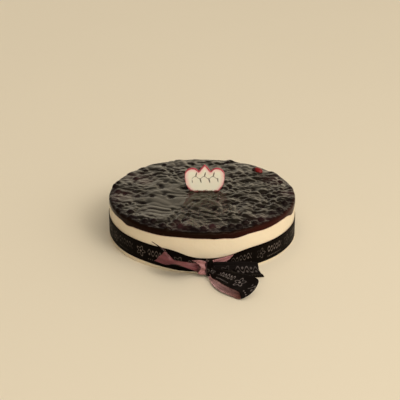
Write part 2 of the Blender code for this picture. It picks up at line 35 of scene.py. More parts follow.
# The cake
CAKE_RADIUS = 100.0 * MM
FILLING_HEIGHT = 38.7 * MM
GLAZE_LEVEL = 45.3 * MM  # surface of the glaze between its berries
SHOULDER = 3.5 * MM  # how far the glaze's rounded edge reaches in from the side
SHOULDER_DROP = 2.7 * MM
SEAT_RADIUS = 90.0 * MM  # inside this circle the filling's top is level
BASE_CHAMFER = 1.0 * MM
CREAM_GAP = 0.05 * MM  # between the cream and the glaze
# Where the glaze has run down over the filling: angle, half width in degrees, depth
RUNS = (
    (219.5, 4.0, 1.9 * MM),
    (242.0, 9.0, 0.9 * MM),
    (278.0, 4.0, 1.2 * MM),
    (289.0, 7.5, 2.5 * MM),
    (342.0, 6.0, 4.3 * MM),
    (28.0, 5.0, 1.7 * MM),
    (83.0, 4.5, 1.4 * MM),
    (137.0, 6.0, 2.1 * MM),
    (176.0, 4.0, 1.2 * MM),
)

# The berries under the glaze
BERRY_SEED = 11
BERRY_PITCH = 9.2 * MM
BERRY_SHIFT = 1.6 * MM
BERRY_RISE = 2.5 * MM
BERRY_MARGIN = 5.4 * MM  # how far in from the side the berries under the glaze stop
LEAST_RISE = 0.2  # the least that a berry lifts it, as a share of the most
FOOT_SHARE = 0.3  # how much of its rise a berry keeps at the plaque's foot
RIM_CLEARANCE = 0.75  # no other berry is nearer to a rim berry than this many pitches
CALM_MIDDLE = (-42.0 * MM, -6.0 * MM)  # where the glaze lies calm over its berries
CALM_REACH = (44.0 * MM, 46.0 * MM)
CALMNESS = 0.65
# Berries that stand out at the rim: angle, distance from the middle, radius
RIM_BERRIES = (
    (201.3, 91.5 * MM, 5.0 * MM),
    (213.0, 88.0 * MM, 4.7 * MM),
    (230.5, 91.5 * MM, 4.4 * MM),
    (235.0, 86.0 * MM, 5.2 * MM),
    (244.0, 90.3 * MM, 4.7 * MM),
    (250.2, 77.0 * MM, 5.1 * MM),
    (255.6, 86.5 * MM, 4.8 * MM),
    (256.6, 71.5 * MM, 4.6 * MM),
    (263.0, 87.5 * MM, 5.0 * MM),
    (270.6, 89.0 * MM, 4.7 * MM),
    (277.0, 84.5 * MM, 5.1 * MM),
    (284.5, 91.5 * MM, 4.5 * MM),
    (289.7, 88.0 * MM, 4.6 * MM),
    (294.5, 91.5 * MM, 4.5 * MM),
    (300.8, 86.5 * MM, 5.0 * MM),
    (306.0, 92.0 * MM, 4.5 * MM),
    (312.5, 90.0 * MM, 5.0 * MM),
    (333.5, 91.0 * MM, 4.6 * MM),
    (343.5, 91.5 * MM, 4.7 * MM),
    (19.5, 91.0 * MM, 5.0 * MM),
    (71.6, 91.5 * MM, 5.2 * MM),
    (97.0, 88.0 * MM, 4.6 * MM),
    (118.0, 91.0 * MM, 5.0 * MM),
    (135.0, 90.0 * MM, 5.2 * MM),
    (151.0, 83.5 * MM, 4.7 * MM),
    (177.0, 91.0 * MM, 5.0 * MM),
)
# How the rim swells at the back: angle, half width in degrees, rise
BACK_SWELLINGS = (
    (9.0, 5.0, 1.2 * MM),
    (34.0, 5.0, 2.2 * MM),
    (70.3, 3.0, 2.2 * MM),
    (95.0, 4.0, 0.9 * MM),
    (107.0, 5.0, -0.6 * MM),
    (125.0, 7.0, 1.7 * MM),
)
SHOULDER_STEPS = 9
ROLL_START = 88.0 * MM  # from here outwards the top follows the swellings of its edge
ROLL_REACH = 8.0 * MM
ROLL_OUTWARDS = 0.6  # how much of a swelling goes outwards too
DARK_STEP = 1  # from this step of the rounded edge on, the side's finish
BARE_FROM = 0.25  # from this bareness on, the bare berries' finish
GLAZE_PROUD = 0.1 * MM  # how far the glaze stands out from the filling's side
# The side of the glaze below its rounded edge: share of the way down, bulge
SIDE_BULGES = ((0.3, 0.10 * MM), (0.6, 0.05 * MM), (0.85, 0.12 * MM), (0.97, 0.05 * MM), (1.0, -0.1 * MM))
RIM_BERRY_SHOWING = 2.5 * MM  # at the front
RIM_BERRY_SINK = 1.3 * MM  # how much less shows at the back
DROWNED = 0.35 * MM  # how much deeper the berries lie in the jelly than the solid shows
JELLY_LEVEL = -0.5 * MM  # the jelly between the berries, under the glaze's level
ROUNDNESS = 11.0 * MM  # radius to which the jelly rounds off a berry under it, where it is lively
LEAN = 0.09  # how far such a lump leans, as a slope
CROWN_DEPTH = 0.15 * MM  # depth of the ring round a berry's crown
SOFTNESS = 0.12 * MM  # how softly the jelly meets a berry
# Where the jelly has sunk between berries: place, half length to the side, depth
SUNK = (
    (-62.4 * MM, -27.0 * MM, 5.0 * MM, 2.0 * MM),
    (-66.0 * MM, -9.5 * MM, 11.0 * MM, 0.9 * MM),
    (-53.6 * MM, -8.7 * MM, 3.0 * MM, 1.6 * MM),
    (-33.2 * MM, -11.3 * MM, 4.0 * MM, 1.6 * MM),
    (-44.8 * MM, 14.7 * MM, 3.5 * MM, 1.4 * MM),
    (-18.5 * MM, 12.0 * MM, 6.5 * MM, 2.0 * MM),
    (-16.8 * MM, -42.2 * MM, 3.2 * MM, 1.5 * MM),
    (-4.3 * MM, -44.7 * MM, 3.0 * MM, 1.2 * MM),
    (12.9 * MM, -40.9 * MM, 2.8 * MM, 1.6 * MM),
    (34.7 * MM, -28.2 * MM, 4.0 * MM, 1.6 * MM),
    (43.8 * MM, -24.4 * MM, 3.0 * MM, 1.2 * MM),
    (63.3 * MM, -35.9 * MM, 3.4 * MM, 1.9 * MM),
    (54.8 * MM, -49.7 * MM, 3.0 * MM, 1.6 * MM),
    (68.9 * MM, -29.5 * MM, 4.0 * MM, 1.5 * MM),
    (66.7 * MM, -0.7 * MM, 4.0 * MM, 1.6 * MM),
    (74.0 * MM, -10.0 * MM, 7.0 * MM, 1.4 * MM),
    (71.5 * MM, 29.4 * MM, 4.0 * MM, 1.8 * MM),
    (44.8 * MM, 21.1 * MM, 3.5 * MM, 1.4 * MM),
    (-79.9 * MM, 18.3 * MM, 4.0 * MM, 1.5 * MM),
)
SUNK_HALF_DEPTH = 3.3 * MM  # half size of a dip along the line of sight
# Smaller dips that lie by chance
SMALL_DIPS = 60
SMALL_DIP_SEED = 5
SMALL_DIP_REACH = 86.0 * MM  # how far from the middle
SMALL_DIP_LENGTHS = (1.4 * MM, 3.0 * MM)
SMALL_DIP_DEPTHS = (0.4 * MM, 1.2 * MM)
SMALL_DIP_CLEARANCE = 7.0 * MM  # from the plaque's foot
# Waves in the jelly: seed, number, shortest and longest, spread in degrees, slope
LONG_WAVES = (71, 40, 7.0 * MM, 20.0 * MM, 34, 0.034)
FINE_WAVES = (72, 50, 3.5 * MM, 10.0 * MM, 46, 0.13)
# How the pattern of the berries wanders, to the side and away
DRIFTS = ((61, 6, 30.0 * MM, 60.0 * MM, 90, 0.5), (62, 6, 30.0 * MM, 60.0 * MM, 90, 0.5))
# Where the jelly lies smooth over the berries at the front: middle and reach
SMOOTH_MIDDLE = (-30.0 * MM, -39.0 * MM)
SMOOTH_REACH = (42.0 * MM, 25.0 * MM)
# Where berry skins shimmer red through the jelly: place, reach and strength
RED_PATCHES = (
    (-22.0 * MM, -83.0 * MM, 9.0 * MM, 0.9),
    (8.0 * MM, -85.5 * MM, 8.0 * MM, 0.8),
    (-88.0 * MM, -8.0 * MM, 14.0 * MM, 0.7),
    (-74.0 * MM, 44.0 * MM, 12.0 * MM, 0.6),
    (21.0 * MM, -22.0 * MM, 5.0 * MM, 0.5),
    (80.0 * MM, 36.0 * MM, 12.0 * MM, 0.7),
    (94.0 * MM, 0.0 * MM, 9.0 * MM, 0.7),
    (-62.0 * MM, 30.0 * MM, 8.0 * MM, 0.6),
    (62.0 * MM, -66.0 * MM, 12.0 * MM, 0.5),
)

# The ragged jelly at the plaque's foot
FOOT_RISE = 0.8 * MM
FOOT_REACH = 1.8 * MM
FOOT_HALF_LENGTH = 14.0  # millimetres

# The bare red berry sunk in the rim at the back
RED_BERRY_ANGLE = 45.0
RED_BERRY_DISTANCE = 88.4 * MM
RED_BERRY_LENGTH = 15.0 * MM
RED_BERRY_WIDTH = 9.0 * MM
RED_BERRY_HEIGHT = 7.6 * MM
RED_BERRY_MIDDLE = 45.1 * MM
# The mound of jelly in front of it
MOUND_AWAY = np.array([3.0, 6.5]) * MM
MOUND_HEIGHT = 1.5 * MM
MOUND_REACH = 4.5 * MM

# The plaque
PLAQUE_X = 2.9 * MM
PLAQUE_Y = 4.6 * MM
PLAQUE_THICKNESS = 2.0 * MM
PLAQUE_HALF_WIDTH = 21.4 * MM
PLAQUE_BELLY_HEIGHT = 24.0 * MM
BELLY_FULLNESS = 0.8  # 1 makes the belly half an ellipse, less makes it fuller
PLAQUE_MIDDLE = 65.0 * MM
LOBE_RADIUS = 8.0 * MM
LOBE_MIDDLE = 64.4 * MM
LOBE_OFFSET = 13.4 * MM
NOTCH_HEIGHT = 68.4 * MM
TIP_HEIGHT = 76.0 * MM
TIP_FULLNESS = 0.8
LOBE_START = 8  # degrees
PLAQUE_ROUNDING = 0.5 * MM  # of its edge
PLAQUE_RING_MIDDLE = 50.5 * MM  # height of the point towards which its rings are drawn in

# The ribbon
RIBBON_WIDTH = 20.8 * MM
RIBBON_THICKNESS = 0.35 * MM
FOLD_LIMIT = 0.8 * MM
BAND_STAND_OFF = 0.6 * MM  # from the filling's side to the middle of the band's thickness
BAND_TOP = 24.4 * MM
BAND_BOTTOM = 3.5 * MM
BAND_TILT = 0.019
PINCH_DEPTH = 6.9 * MM
PINCH_REACH_LEFT = 26.0 * MM
PINCH_REACH_RIGHT = 34.0 * MM
SAG_DEPTH = 1.6 * MM
SAG_MIDDLE = -18.0 * MM
SAG_REACH = 22.0 * MM
KNOT_MIDDLE = (7.1 * MM, -107.0 * MM)
KNOT_HALF_WIDTH = 4.7 * MM
KNOT_HALF_DEPTH = 5.0 * MM
KNOT_BOTTOM = 1.4 * MM
KNOT_TOP = 19.3 * MM
KNOT_TAPER = 0.35

# The bow's strips, each one given by its two long edges, in millimetres from the knot outwards
TAIL_LEFT_UPPER = (
    (6.5, -106.0, 16.5),
    (-3.1, -103.6, 14.4),
    (-7.1, -103.4, 13.3),
    (-17.1, -103.2, 14.4),
    (-24.2, -103.0, 15.2),
    (-29.2, -102.0, 16.2),
    (-33.6, -100.9, 21.4),
    (-37.2, -99.7, 25.0),
)
TAIL_LEFT_LOWER = (
    (6.5, -106.5, 3.5),
    (-3.1, -105.5, 4.0),
    (-7.1, -109.5, 7.8),
    (-16.9, -118.0, 15.9),
    (-23.8, -120.0, 19.7),
    (-28.8, -118.0, 19.5),
    (-36.0, -111.5, 15.6),
    (-47.8, -101.0, 14.9),
)
# The sharp corner of the left tail that stands up in front of the filling
POINT_UPPER = ((-32.8, -103.0, 21.4), (-37.2, -99.5, 26.3), (-43.5, -98.6, 30.9), (-50.0, -98.2, 35.2))
POINT_LOWER = ((-34.2, -103.0, 19.6), (-38.4, -99.5, 24.8), (-44.2, -98.6, 30.0), (-50.4, -98.2, 34.8))
PLEAT_LEFT_UPPER = ((6.5, -108.0, 16.6), (-1.0, -108.5, 19.6), (-10.4, -107.4, 18.7))
PLEAT_LEFT_LOWER = ((6.5, -108.5, 4.2), (-0.7, -109.0, 4.0), (-4.1, -108.5, 4.9))
PLEAT_RIGHT_UPPER = ((6.5, -104.0, 16.0), (16.0, -103.5, 18.4), (31.8, -99.8, 21.4))
PLEAT_RIGHT_LOWER = ((6.5, -104.0, 4.0), (13.0, -104.0, 5.0), (22.0, -101.5, 12.6))
TAIL_RIGHT_UPPER = (
    (6.5, -107.5, 15.5),
    (14.0, -107.0, 16.6),
    (24.0, -107.0, 16.9),
    (40.0, -108.0, 17.9),
    (56.0, -109.0, 17.4),
)
TAIL_RIGHT_LOWER = (
    (6.5, -108.5, 3.0),
    (14.0, -109.5, 1.6),
    (26.0, -110.5, 1.2),
    (44.0, -110.5, 1.2),
    (62.6, -110.0, 2.3),
)
LOOP_LOWER = (
    (6.0, -107.5, 1.9),
    (8.8, -117.8, 1.0),
    (11.2, -128.2, 1.1),
    (17.8, -139.8, 1.1),
    (27.5, -148.6, 1.0),
    (34.7, -154.2, 1.0),
    (37.7, -156.0, 2.8),
    (36.4, -151.9, 5.8),
    (33.4, -149.5, 7.6),
    (28.0, -148.0, 9.0),
    (21.3, -142.0, 9.8),
    (15.6, -130.8, 8.4),
    (9.8, -120.9, 6.4),
    (6.5, -108.5, 7.6),
)
LOOP_UPPER = (
    (6.5, -107.5, 6.2),
    (12.0, -112.5, 8.6),
    (20.0, -119.5, 7.8),
    (31.0, -129.5, 8.6),
    (42.0, -139.0, 10.0),
    (50.0, -145.0, 11.4),
    (54.6, -147.4, 15.4),
    (54.2, -146.2, 18.2),
    (50.6, -143.0, 18.9),
    (46.0, -138.5, 18.5),
    (37.5, -130.5, 16.6),
    (27.0, -120.0, 14.0),
    (17.0, -113.0, 12.2),
    (6.5, -108.5, 14.0),
)
TAIL_RIGHT_BULGE = (0.0, -3.6, 0.0)
PLEAT_BULGE = (0.0, -1.6, 0.0)
LOOP_BULGE = (2.2, -2.4, -1.4)
NOTCH_SHARE = 0.03
PLEAT_HOLLOW = 0.5

# The view: a frame 400 pixels wide, 1100 pixels of focal length
CAMERA_DISTANCE = 1.2042
CAMERA_ELEVATION = 25.67
FRAME_PIXELS = 400
FOCAL_PIXELS = 1100
MIDDLE_PIXEL = (2.1, 30.638)  # where the base's middle lies, right of and below the frame's middle
SENSOR_WIDTH_MM = 36

# The light, as brightness of what stands round the cake
WALL_LIGHT = 0.84
WINDOW_LIGHT = 1.75
SIDE_LIGHT = 0.5
ROOM_LIGHT = 0.21


# Shapes shared with the solids


def bell(distance, reach):
    """A bump of height 1 that fades out over a reach: exp(-(distance / reach) squared)."""
    return np.exp(-((distance / reach) ** 2))


def turn_between(angles, middle):
    """Angles measured from a middle angle, from -180 to 180 degrees."""
    return (np.asarray(angles, float) - middle + 180.0) % 360.0 - 180.0


def side_radius(angles):
    """The cake's radius at each angle: the even radius and four small waves round it."""
    turn = np.radians(angles)
    uneven = 0.2 * np.cos(2 * turn) - 0.2 + 0.22 * np.sin(3 * turn + 0.6)
    uneven += 0.16 * np.sin(5 * turn + 2.1) + 0.10 * np.sin(11 * turn + 4.0)
    return CAKE_RADIUS + uneven * MM


def glaze_edge(angles):
    """Height of the glaze's lower edge: small waves, less one bell for each place where it has run."""
    turn = np.radians(angles)
    waves = 0.35 * np.sin(4 * turn + 1.3) + 0.30 * np.sin(9 * turn + 0.4) + 0.18 * np.sin(17 * turn)
    height = FILLING_HEIGHT + 0.25 * MM + waves * MM
    for middle, reach, depth in RUNS:
        height = height - depth * bell(turn_between(angles, middle), reach)
    return height


def spot(angle, distance):
    """A place on the top, from its angle and its distance from the middle."""
    return distance * np.array([math.cos(math.radians(angle)), math.sin(math.radians(angle))])


def distance_to_foot(places):
    """How far each place is from the line on which the plaque stands."""
    beside = np.maximum(np.abs(places[:, 0] - PLAQUE_X) - PLAQUE_HALF_WIDTH / 2, 0.0)
    return np.hypot(beside, places[:, 1] - PLAQUE_Y)


def crinkle(places):
    """How strongly the glaze is lifted: calm in an oval left of the middle, lively at the right and at
    the front rim, and lower again at the back rim."""
    x, y = places[:, 0], places[:, 1]
    calm = bell(np.hypot((x - CALM_MIDDLE[0]) / CALM_REACH[0], (y - CALM_MIDDLE[1]) / CALM_REACH[1]), 1.0)
    rim = np.clip((np.hypot(x, y) - 70 * MM) / (25 * MM), 0, 1)
    back = np.clip((y - 10 * MM) / (50 * MM), 0, 1)
    return np.clip(0.95 - CALMNESS * calm + 0.2 * rim - 0.6 * rim * back, 0.25, 1.15)


def berry_places():
    """Places and rises of the berries under the glaze: a hexagonal pattern, each berry moved by chance."""
    draw = np.random.default_rng(BERRY_SEED)
    reach = CAKE_RADIUS - BERRY_MARGIN
    row_step = BERRY_PITCH * math.sqrt(3) / 2
    rows = int(reach / row_step) + 1
    columns = int(reach / BERRY_PITCH) + 1
    row, column = np.meshgrid(np.arange(-rows, rows + 1), np.arange(-columns, columns + 1), indexing="ij")
    x = (column + 0.5 * (row % 2)) * BERRY_PITCH
    y = row * row_step
    places = np.stack([x.ravel(), y.ravel()], axis=1)
    places += draw.uniform(-BERRY_SHIFT, BERRY_SHIFT, places.shape)
    chance = draw.random(len(places))
    rises = BERRY_RISE * (LEAST_RISE + (1 - LEAST_RISE) * chance**1.5) * crinkle(places)
    kept = np.hypot(places[:, 0], places[:, 1]) < reach
    rises *= np.where(distance_to_foot(places) < 0.5 * BERRY_PITCH, FOOT_SHARE, 1.0)
    for angle, distance, _ in RIM_BERRIES:
        kept &= np.hypot(*(places - spot(angle, distance)).T) > RIM_CLEARANCE * BERRY_PITCH
    return places[kept], rises[kept]


def band_edges(angles):
    """Heights of the band's lower and upper edge, both drawn in where the knot gathers the ribbon."""
    x = CAKE_RADIUS * np.cos(np.radians(angles))
    front = np.sin(np.radians(angles)) < 0
    reach = np.where(x < KNOT_MIDDLE[0], PINCH_REACH_LEFT, PINCH_REACH_RIGHT)
    pinch = np.exp(-(np.abs(x - KNOT_MIDDLE[0] / 2) / reach) ** 3) * front
    sag = bell(x - SAG_MIDDLE, SAG_REACH) * front
    upper = BAND_TOP - BAND_TILT * x - PINCH_DEPTH * pinch
    lower = BAND_BOTTOM - BAND_TILT * x - SAG_DEPTH * sag
    return lower, upper


def curve_through(points, places):
    """Points on the smooth curve through the given points, at places from 0 to 1 along their order:
    between two of them a cubic whose slope at each point is half the step between its neighbours."""
    points = np.asarray(points, float)
    ends = np.concatenate([[2 * points[0] - points[1]], points, [2 * points[-1] - points[-2]]])
    spans = len(points) - 1
    span = np.minimum((places * spans).astype(int), spans - 1)
    t = (places * spans - span)[..., None]
    a, b, c, d = (ends[span + k] for k in range(4))
    return b + 0.5 * t * (c - a + t * (2 * a - 5 * b + 4 * c - d + t * (3 * (b - c) + d - a)))


# Meshes from arrays


def grid_faces(rows, columns, wrapped=False, first=0):
    """Four-cornered faces of a grid numbered row by row, and each corner's row and column, which run
    on past the seam where the columns close into a ring."""
    steps = np.arange(columns if wrapped else columns - 1)
    row, column = np.meshgrid(np.arange(rows - 1), steps, indexing="ij")
    corner_row = np.stack([row, row, row + 1, row + 1], -1).reshape(-1, 4)
    corner_column = np.stack([column, column + 1, column + 1, column], -1).reshape(-1, 4)
    return first + corner_row * columns + corner_column % columns, corner_row, corner_column


def fan_faces(ring, count, middle, reverse=False):
    """Triangles from a ring of points to its middle point."""
    here = np.arange(count)
    there = (here + 1) % count
    pair = (there, here) if reverse else (here, there)
    return np.stack([ring + pair[0], ring + pair[1], np.full(count, middle)], -1)


def add_piece(name, points, faces, finishes, flat_map=None, values=(), parts=None):
    """A smooth piece from an array of points and arrays of faces. flat_map holds two numbers for each
    corner of each face, values are names with one number for each point, and parts numbers each
    face's finish."""
    mesh = bpy.data.meshes.new(name)
    mesh.from_pydata(points, [], [face for group in faces for face in group.tolist()])
    for finish in finishes:
        mesh.materials.append(finish)
    if flat_map is not None:
        layer = mesh.uv_layers.new(name="flat")
        layer.data.foreach_set("uv", np.asarray(flat_map, np.float32).ravel())
    for label, numbers in values:
        attribute = mesh.attributes.new(label, "FLOAT", "POINT")
        attribute.data.foreach_set("value", np.asarray(numbers, np.float32).ravel())
    if parts is not None:
        mesh.polygons.foreach_set("material_index", np.asarray(parts, np.int32))
    mesh.shade_smooth()
    mesh.update()
    made = bpy.data.objects.new(name, mesh)
    bpy.context.scene.collection.objects.link(made)
    return made


# Materials from nodes


class Number:
    """A number that a material's nodes work out, so that a pattern can be written as a formula."""

    def __init__(self, tree, socket):
        self.tree = tree
        self.socket = socket

    def by(self, operation, *others, clamped=False):
        """The result of an operation on the number, and on another number or value where it takes one."""
        node = self.tree.nodes.new("ShaderNodeMath")
        node.operation = operation
        node.use_clamp = clamped
        for entry, value in zip(node.inputs, (self, *others)):
            if isinstance(value, Number):
                self.tree.links.new(value.socket, entry)
            else:
                entry.default_value = value
        return Number(self.tree, node.outputs[0])

    def __add__(self, other):
        return self.by("ADD", other)

    def __sub__(self, other):
        return self.by("SUBTRACT", other)

    def __mul__(self, other):
        return self.by("MULTIPLY", other)

    def clamped(self):
        """The number held between 0 and 1."""
        return self.by("ADD", 0.0, clamped=True)

    def size(self):
        return self.by("ABSOLUTE")

    def wave(self, length):
        """A wave from -1 to 1 that repeats over a length."""
        return (self * (2 * math.pi / length)).by("SINE")

    def within(self, length):
        """The number counted again from 0 over each length."""
        return self.by("FLOORED_MODULO", length)

    def under(self, limit, blur):
        """1 where the number is below a limit, 0 where it is above, with a soft step between."""
        return ((self - limit) * (-1 / blur) + 0.5).clamped()

    def most(self, other):
        return self.by("MAXIMUM", other)

    def least(self, other):
        return self.by("MINIMUM", other)

    def distance(self, other):
        """How far from the origin the place is that this number and another one give."""
        return (self * self + other * other).by("SQRT")


class Finish:
    """A Principled material, and short ways to add the nodes that drive it."""

    def __init__(self, name, **constants):
        self.material = bpy.data.materials.new(name)
        self.material.use_nodes = True
        self.tree = self.material.node_tree
        self.shader = self.tree.nodes["Principled BSDF"]
        self.places = self.tree.nodes.new("ShaderNodeTexCoord")
        for label, value in constants.items():
            self.shader.inputs[label.replace("_", " ").title().replace("Ior", "IOR")].default_value = value

    def value(self, label):
        """The piece's own number of that name at each point."""
        node = self.tree.nodes.new("ShaderNodeAttribute")
        node.attribute_name = label
        return Number(self.tree, node.outputs["Fac"])

    def along(self, source="UV"):
        """The place's numbers, one for each direction, from the flat map or from the object."""
        node = self.tree.nodes.new("ShaderNodeSeparateXYZ")
        self.tree.links.new(self.places.outputs[source], node.inputs[0])
        return [Number(self.tree, socket) for socket in node.outputs]

    def noise(self, size, detail=3.0, roughness=0.55):
        """Clouds of a size in metres, from 0 to 1."""
        node = self.tree.nodes.new("ShaderNodeTexNoise")
        node.inputs["Scale"].default_value = 1 / size
        node.inputs["Detail"].default_value = detail
        node.inputs["Roughness"].default_value = roughness
        self.tree.links.new(self.places.outputs["Object"], node.inputs["Vector"])
        return Number(self.tree, node.outputs["Fac"])

    def blend(self, share, first, second):
        """One colour where the share is 0 and the other where it is 1. A colour is three numbers, or
        what a node gives."""
        node = self.tree.nodes.new("ShaderNodeMix")
        node.data_type = "RGBA"
        self.tree.links.new(share.socket, node.inputs["Factor"])
        for entry, colour in ((node.inputs[6], first), (node.inputs[7], second)):
            if isinstance(colour, bpy.types.NodeSocket):
                self.tree.links.new(colour, entry)
            else:
                entry.default_value = (*colour, 1.0)
        return node.outputs[2]

    def colour(self, socket):
        """Colours the surface with what a node gives."""
        self.tree.links.new(socket, self.shader.inputs["Base Color"])

    def relief(self, height, depth):
        """Fine relief: a height from 0 to 1 over a depth in metres."""
        node = self.tree.nodes.new("ShaderNodeBump")
        node.inputs["Distance"].default_value = depth
        self.tree.links.new(height.socket, node.inputs["Height"])
        self.tree.links.new(node.outputs[0], self.shader.inputs["Normal"])


def cream_finish():
    """Set cream cheese: pale cream, faintly mottled, stained by the berries right under the glaze."""
    finish = Finish("cream", roughness=0.48, subsurface_weight=0.12, subsurface_scale=0.004)
    finish.shader.inputs["Subsurface Radius"].default_value = (1.0, 0.6, 0.35)
    mottle = finish.noise(0.018, 4.0)
    base = finish.blend(mottle, (0.69, 0.585, 0.425), (0.74, 0.63, 0.465))
    stain = finish.value("stain") * (finish.noise(0.004, 2.0) * 1.6 - 0.3)
    finish.colour(finish.blend(stain.clamped(), base, (0.36, 0.13, 0.09)))
    finish.relief(finish.noise(0.0035, 5.0, 0.6), 0.00025)
    return finish.material


def glaze_finish(name, shine, dark, light, roughness=0.14, wrinkles=0.00006):
    """Clear jelly over dark berries, of a shine and between two colours: nearly black, wine red at the
    side and where skins show through."""
    finish = Finish(name, roughness=roughness, ior=1.38, specular_ior_level=shine)
    finish.shader.inputs["Specular Tint"].default_value = (1.0, 0.9, 0.68, 1)
    base = finish.blend(finish.noise(0.012, 4.0), dark, light)
    skins = (finish.value("skin") * (finish.noise(0.003, 3.0) * 0.8 + 0.2)).clamped()
    tinted = finish.blend(skins, base, (0.052, 0.017, 0.020))
    to_right = (finish.along("Object")[0] * -1.0).under(-0.035, 0.05)
    wine = finish.blend(to_right, (0.009, 0.0026, 0.0014), (0.026, 0.0050, 0.0036))
    finish.colour(finish.blend(finish.value("side"), tinted, wine))
    finish.relief(finish.noise(0.0022, 3.0), wrinkles)
    return finish.material


def red_skin_finish():
    """Wet red berry skin, uneven in tone, and nearly black at the end where it lies in the juice."""
    finish = Finish("red_skin", roughness=0.25, ior=1.4, specular_ior_level=0.3)
    patches = finish.blend(finish.noise(0.004, 3.0), (0.12, 0.006, 0.006), (0.26, 0.015, 0.013))
    across, _, _ = finish.along("Object")
    in_juice = (across + (finish.noise(0.003, 2.0) - 0.5) * 0.004).under(0.0605, 0.002)
    finish.colour(finish.blend(in_juice, patches, (0.035, 0.006, 0.006)))
    finish.relief(finish.noise(0.0012, 3.0), 0.00015)
    return finish.material


def plaque_finish():
    """Off-white sugar sheet with a pink rim, deep red along its top and at the corners of its foot, juice
    drawn up at its foot, and a brown sprig on its front."""
    finish = Finish("sugar_plaque", roughness=0.55, subsurface_weight=0.1, subsurface_scale=0.002)
    _, depth, height = finish.along("Object")
    rim = finish.value("rim") + (finish.noise(0.003, 2.0) - 0.5) * 0.0014
    pale = finish.blend(finish.noise(0.006, 3.0), (0.84, 0.79, 0.64), (0.88, 0.83, 0.68))
    pink = finish.blend(rim.under(0.0028, 0.0036), pale, (0.88, 0.56, 0.52))
    deep = (height * -1.0).under(-0.0665, 0.005).most(height.under(0.0515, 0.004))
    red = finish.blend(deep, (0.62, 0.20, 0.22), (0.40, 0.03, 0.055))
    edge = finish.blend((rim - deep * 0.0008).under(0.0006, 0.0010), pink, red)
    drawn = finish.blend(sprig(finish) * depth.under(PLAQUE_Y - 0.0006, 0.0002), edge, (0.11, 0.075, 0.045))
    foot = height + (finish.noise(0.003, 2.0) - 0.5) * 0.003
    finish.colour(finish.blend(foot.under(0.0467, 0.0016), drawn, (0.20, 0.05, 0.04)))
    finish.relief(finish.noise(0.0009, 3.0), 0.00006)
    return finish.material


def sprig(finish):
    """A sprig across the plaque's front: a waving stem, and a long leaf on the outer side of each bend.
    Its lengths are in metres."""
    x, _, z = finish.along("Object")
    bend = 0.0094
    on_stem = (x - 0.0034).size().under(0.0142, 0.0004)
    rise = z - 0.0615
    stem = (rise - x.wave(bend) * 0.0014).size().under(0.00030, 0.0004)
    side = x.wave(bend).by("SIGN")
    from_leaf = x.within(bend / 2) - bend / 4
    leaf = (from_leaf - rise * side * 0.25).distance((rise - side * 0.0034) * 0.26).under(0.0007, 0.0004)
    return on_stem * stem.most(leaf)


def ornament(finish, scale):
    """The print's pattern on the ribbon's flat map, in metres, in rows: on each repeat a five-petalled
    flower in outline, then a waving stem with a leaf in each bend and a line of dots under it."""
    repeat, row, half_width = 0.044, 0.018, RIBBON_WIDTH / 2 / scale
    along, across, _ = (number * (1 / scale) for number in finish.along())
    place = along.within(repeat)
    height = (across - (half_width - row / 2)).within(row) - row / 2
    from_flower = place - 0.008
    turn = height.by("ARCTAN2", from_flower)
    petals = (turn * 5.0).by("COSINE") * 0.0014 + 0.0042
    middle = from_flower.distance(height)
    flower = (middle - petals).size().under(0.00042, 0.0003).most(middle.under(0.0012, 0.0003))
    bend = 0.0085
    on_stem = (place - 0.0285).size().under(0.0116, 0.0004)
    rise = height - 0.0014
    stem = (rise - place.wave(bend) * 0.0032).size().under(0.0006, 0.0003)
    side = place.wave(bend).by("SIGN")
    from_leaf = place.within(bend / 2) - bend / 4
    leaf = from_leaf.distance((rise + side * 0.0018) * 0.8).under(0.0010, 0.0004)
    from_dot = place.within(0.0024) - 0.0012
    dots = from_dot.distance(height + 0.0062).under(0.0006, 0.0003)
    return flower.most(on_stem * stem.most(leaf).most(dots))


def weave(finish):
    """Fine cross ribs of a woven ribbon, from 0 to 1."""
    along, across, _ = finish.along()
    return (along.wave(0.00045) * across.wave(0.0006)) * 0.5 + 0.5


def satin_finish(name, ground, printed, share, scale=1.0, roughness=0.5, shine=0.05, ends=None, fading=2.6):
    """Satin ribbon with its print at a scale, a little uneven in tone and faded in places. share is the
    print's strength and fading how unevenly it has faded. ends gives the ground's colour further on, and
    between which two lengths of the flat map it changes."""
    finish = Finish(name, roughness=roughness, specular_ior_level=shine)
    light = tuple(1.35 * part for part in ground)
    tone = finish.blend(finish.noise(0.009, 3.0), ground, light)
    if ends:
        colour, start, stop = ends
        far = (finish.along()[0] - start) * (1 / (stop - start))
        tone = finish.blend(far.clamped(), tone, colour)
    faded = ((finish.noise(0.022, 1.0) - 0.5) * fading + 0.55).clamped()
    worn = ornament(finish, scale) * (finish.noise(0.0011, 2.0) * 0.6 + 0.5) * faded * share
    finish.colour(finish.blend(worn.clamped(), tone, printed))
    finish.relief(weave(finish), 0.00003)
    return finish.material


# Pieces


def disc_points(count):
    """The unit disc as a square grid of count + 1 points each way. A point's ring is its larger
    distance from the middle, and along each side of a ring the angle grows evenly."""
    line = np.linspace(-1.0, 1.0, count + 1)
    a, b = np.meshgrid(line, line)
    wide = np.abs(a) >= np.abs(b)
    ring = np.where(wide, a, b)
    safe = np.where(ring == 0, 1.0, ring)
    turn = np.where(wide, math.pi / 4 * b / safe, math.pi / 2 - math.pi / 4 * a / safe)
    return np.stack([ring * np.cos(turn), ring * np.sin(turn)], -1).reshape(-1, 2)


def disc_border(count):
    """Numbers of the grid's border points, once round."""
    side = np.arange(count)
    width = count + 1
    return np.concatenate([
        side,
        side * width + count,
        count * width + count - side,
        (count - side) * width,
    ])


def soft_highest(heights, softness):
    """The highest of many surfaces, rounded where they meet: softness times ln(sum of exp(h / softness))."""
    top = heights.max(axis=1, keepdims=True)
    return top[:, 0] + softness * np.log(np.exp((heights - top) / softness).sum(axis=1))


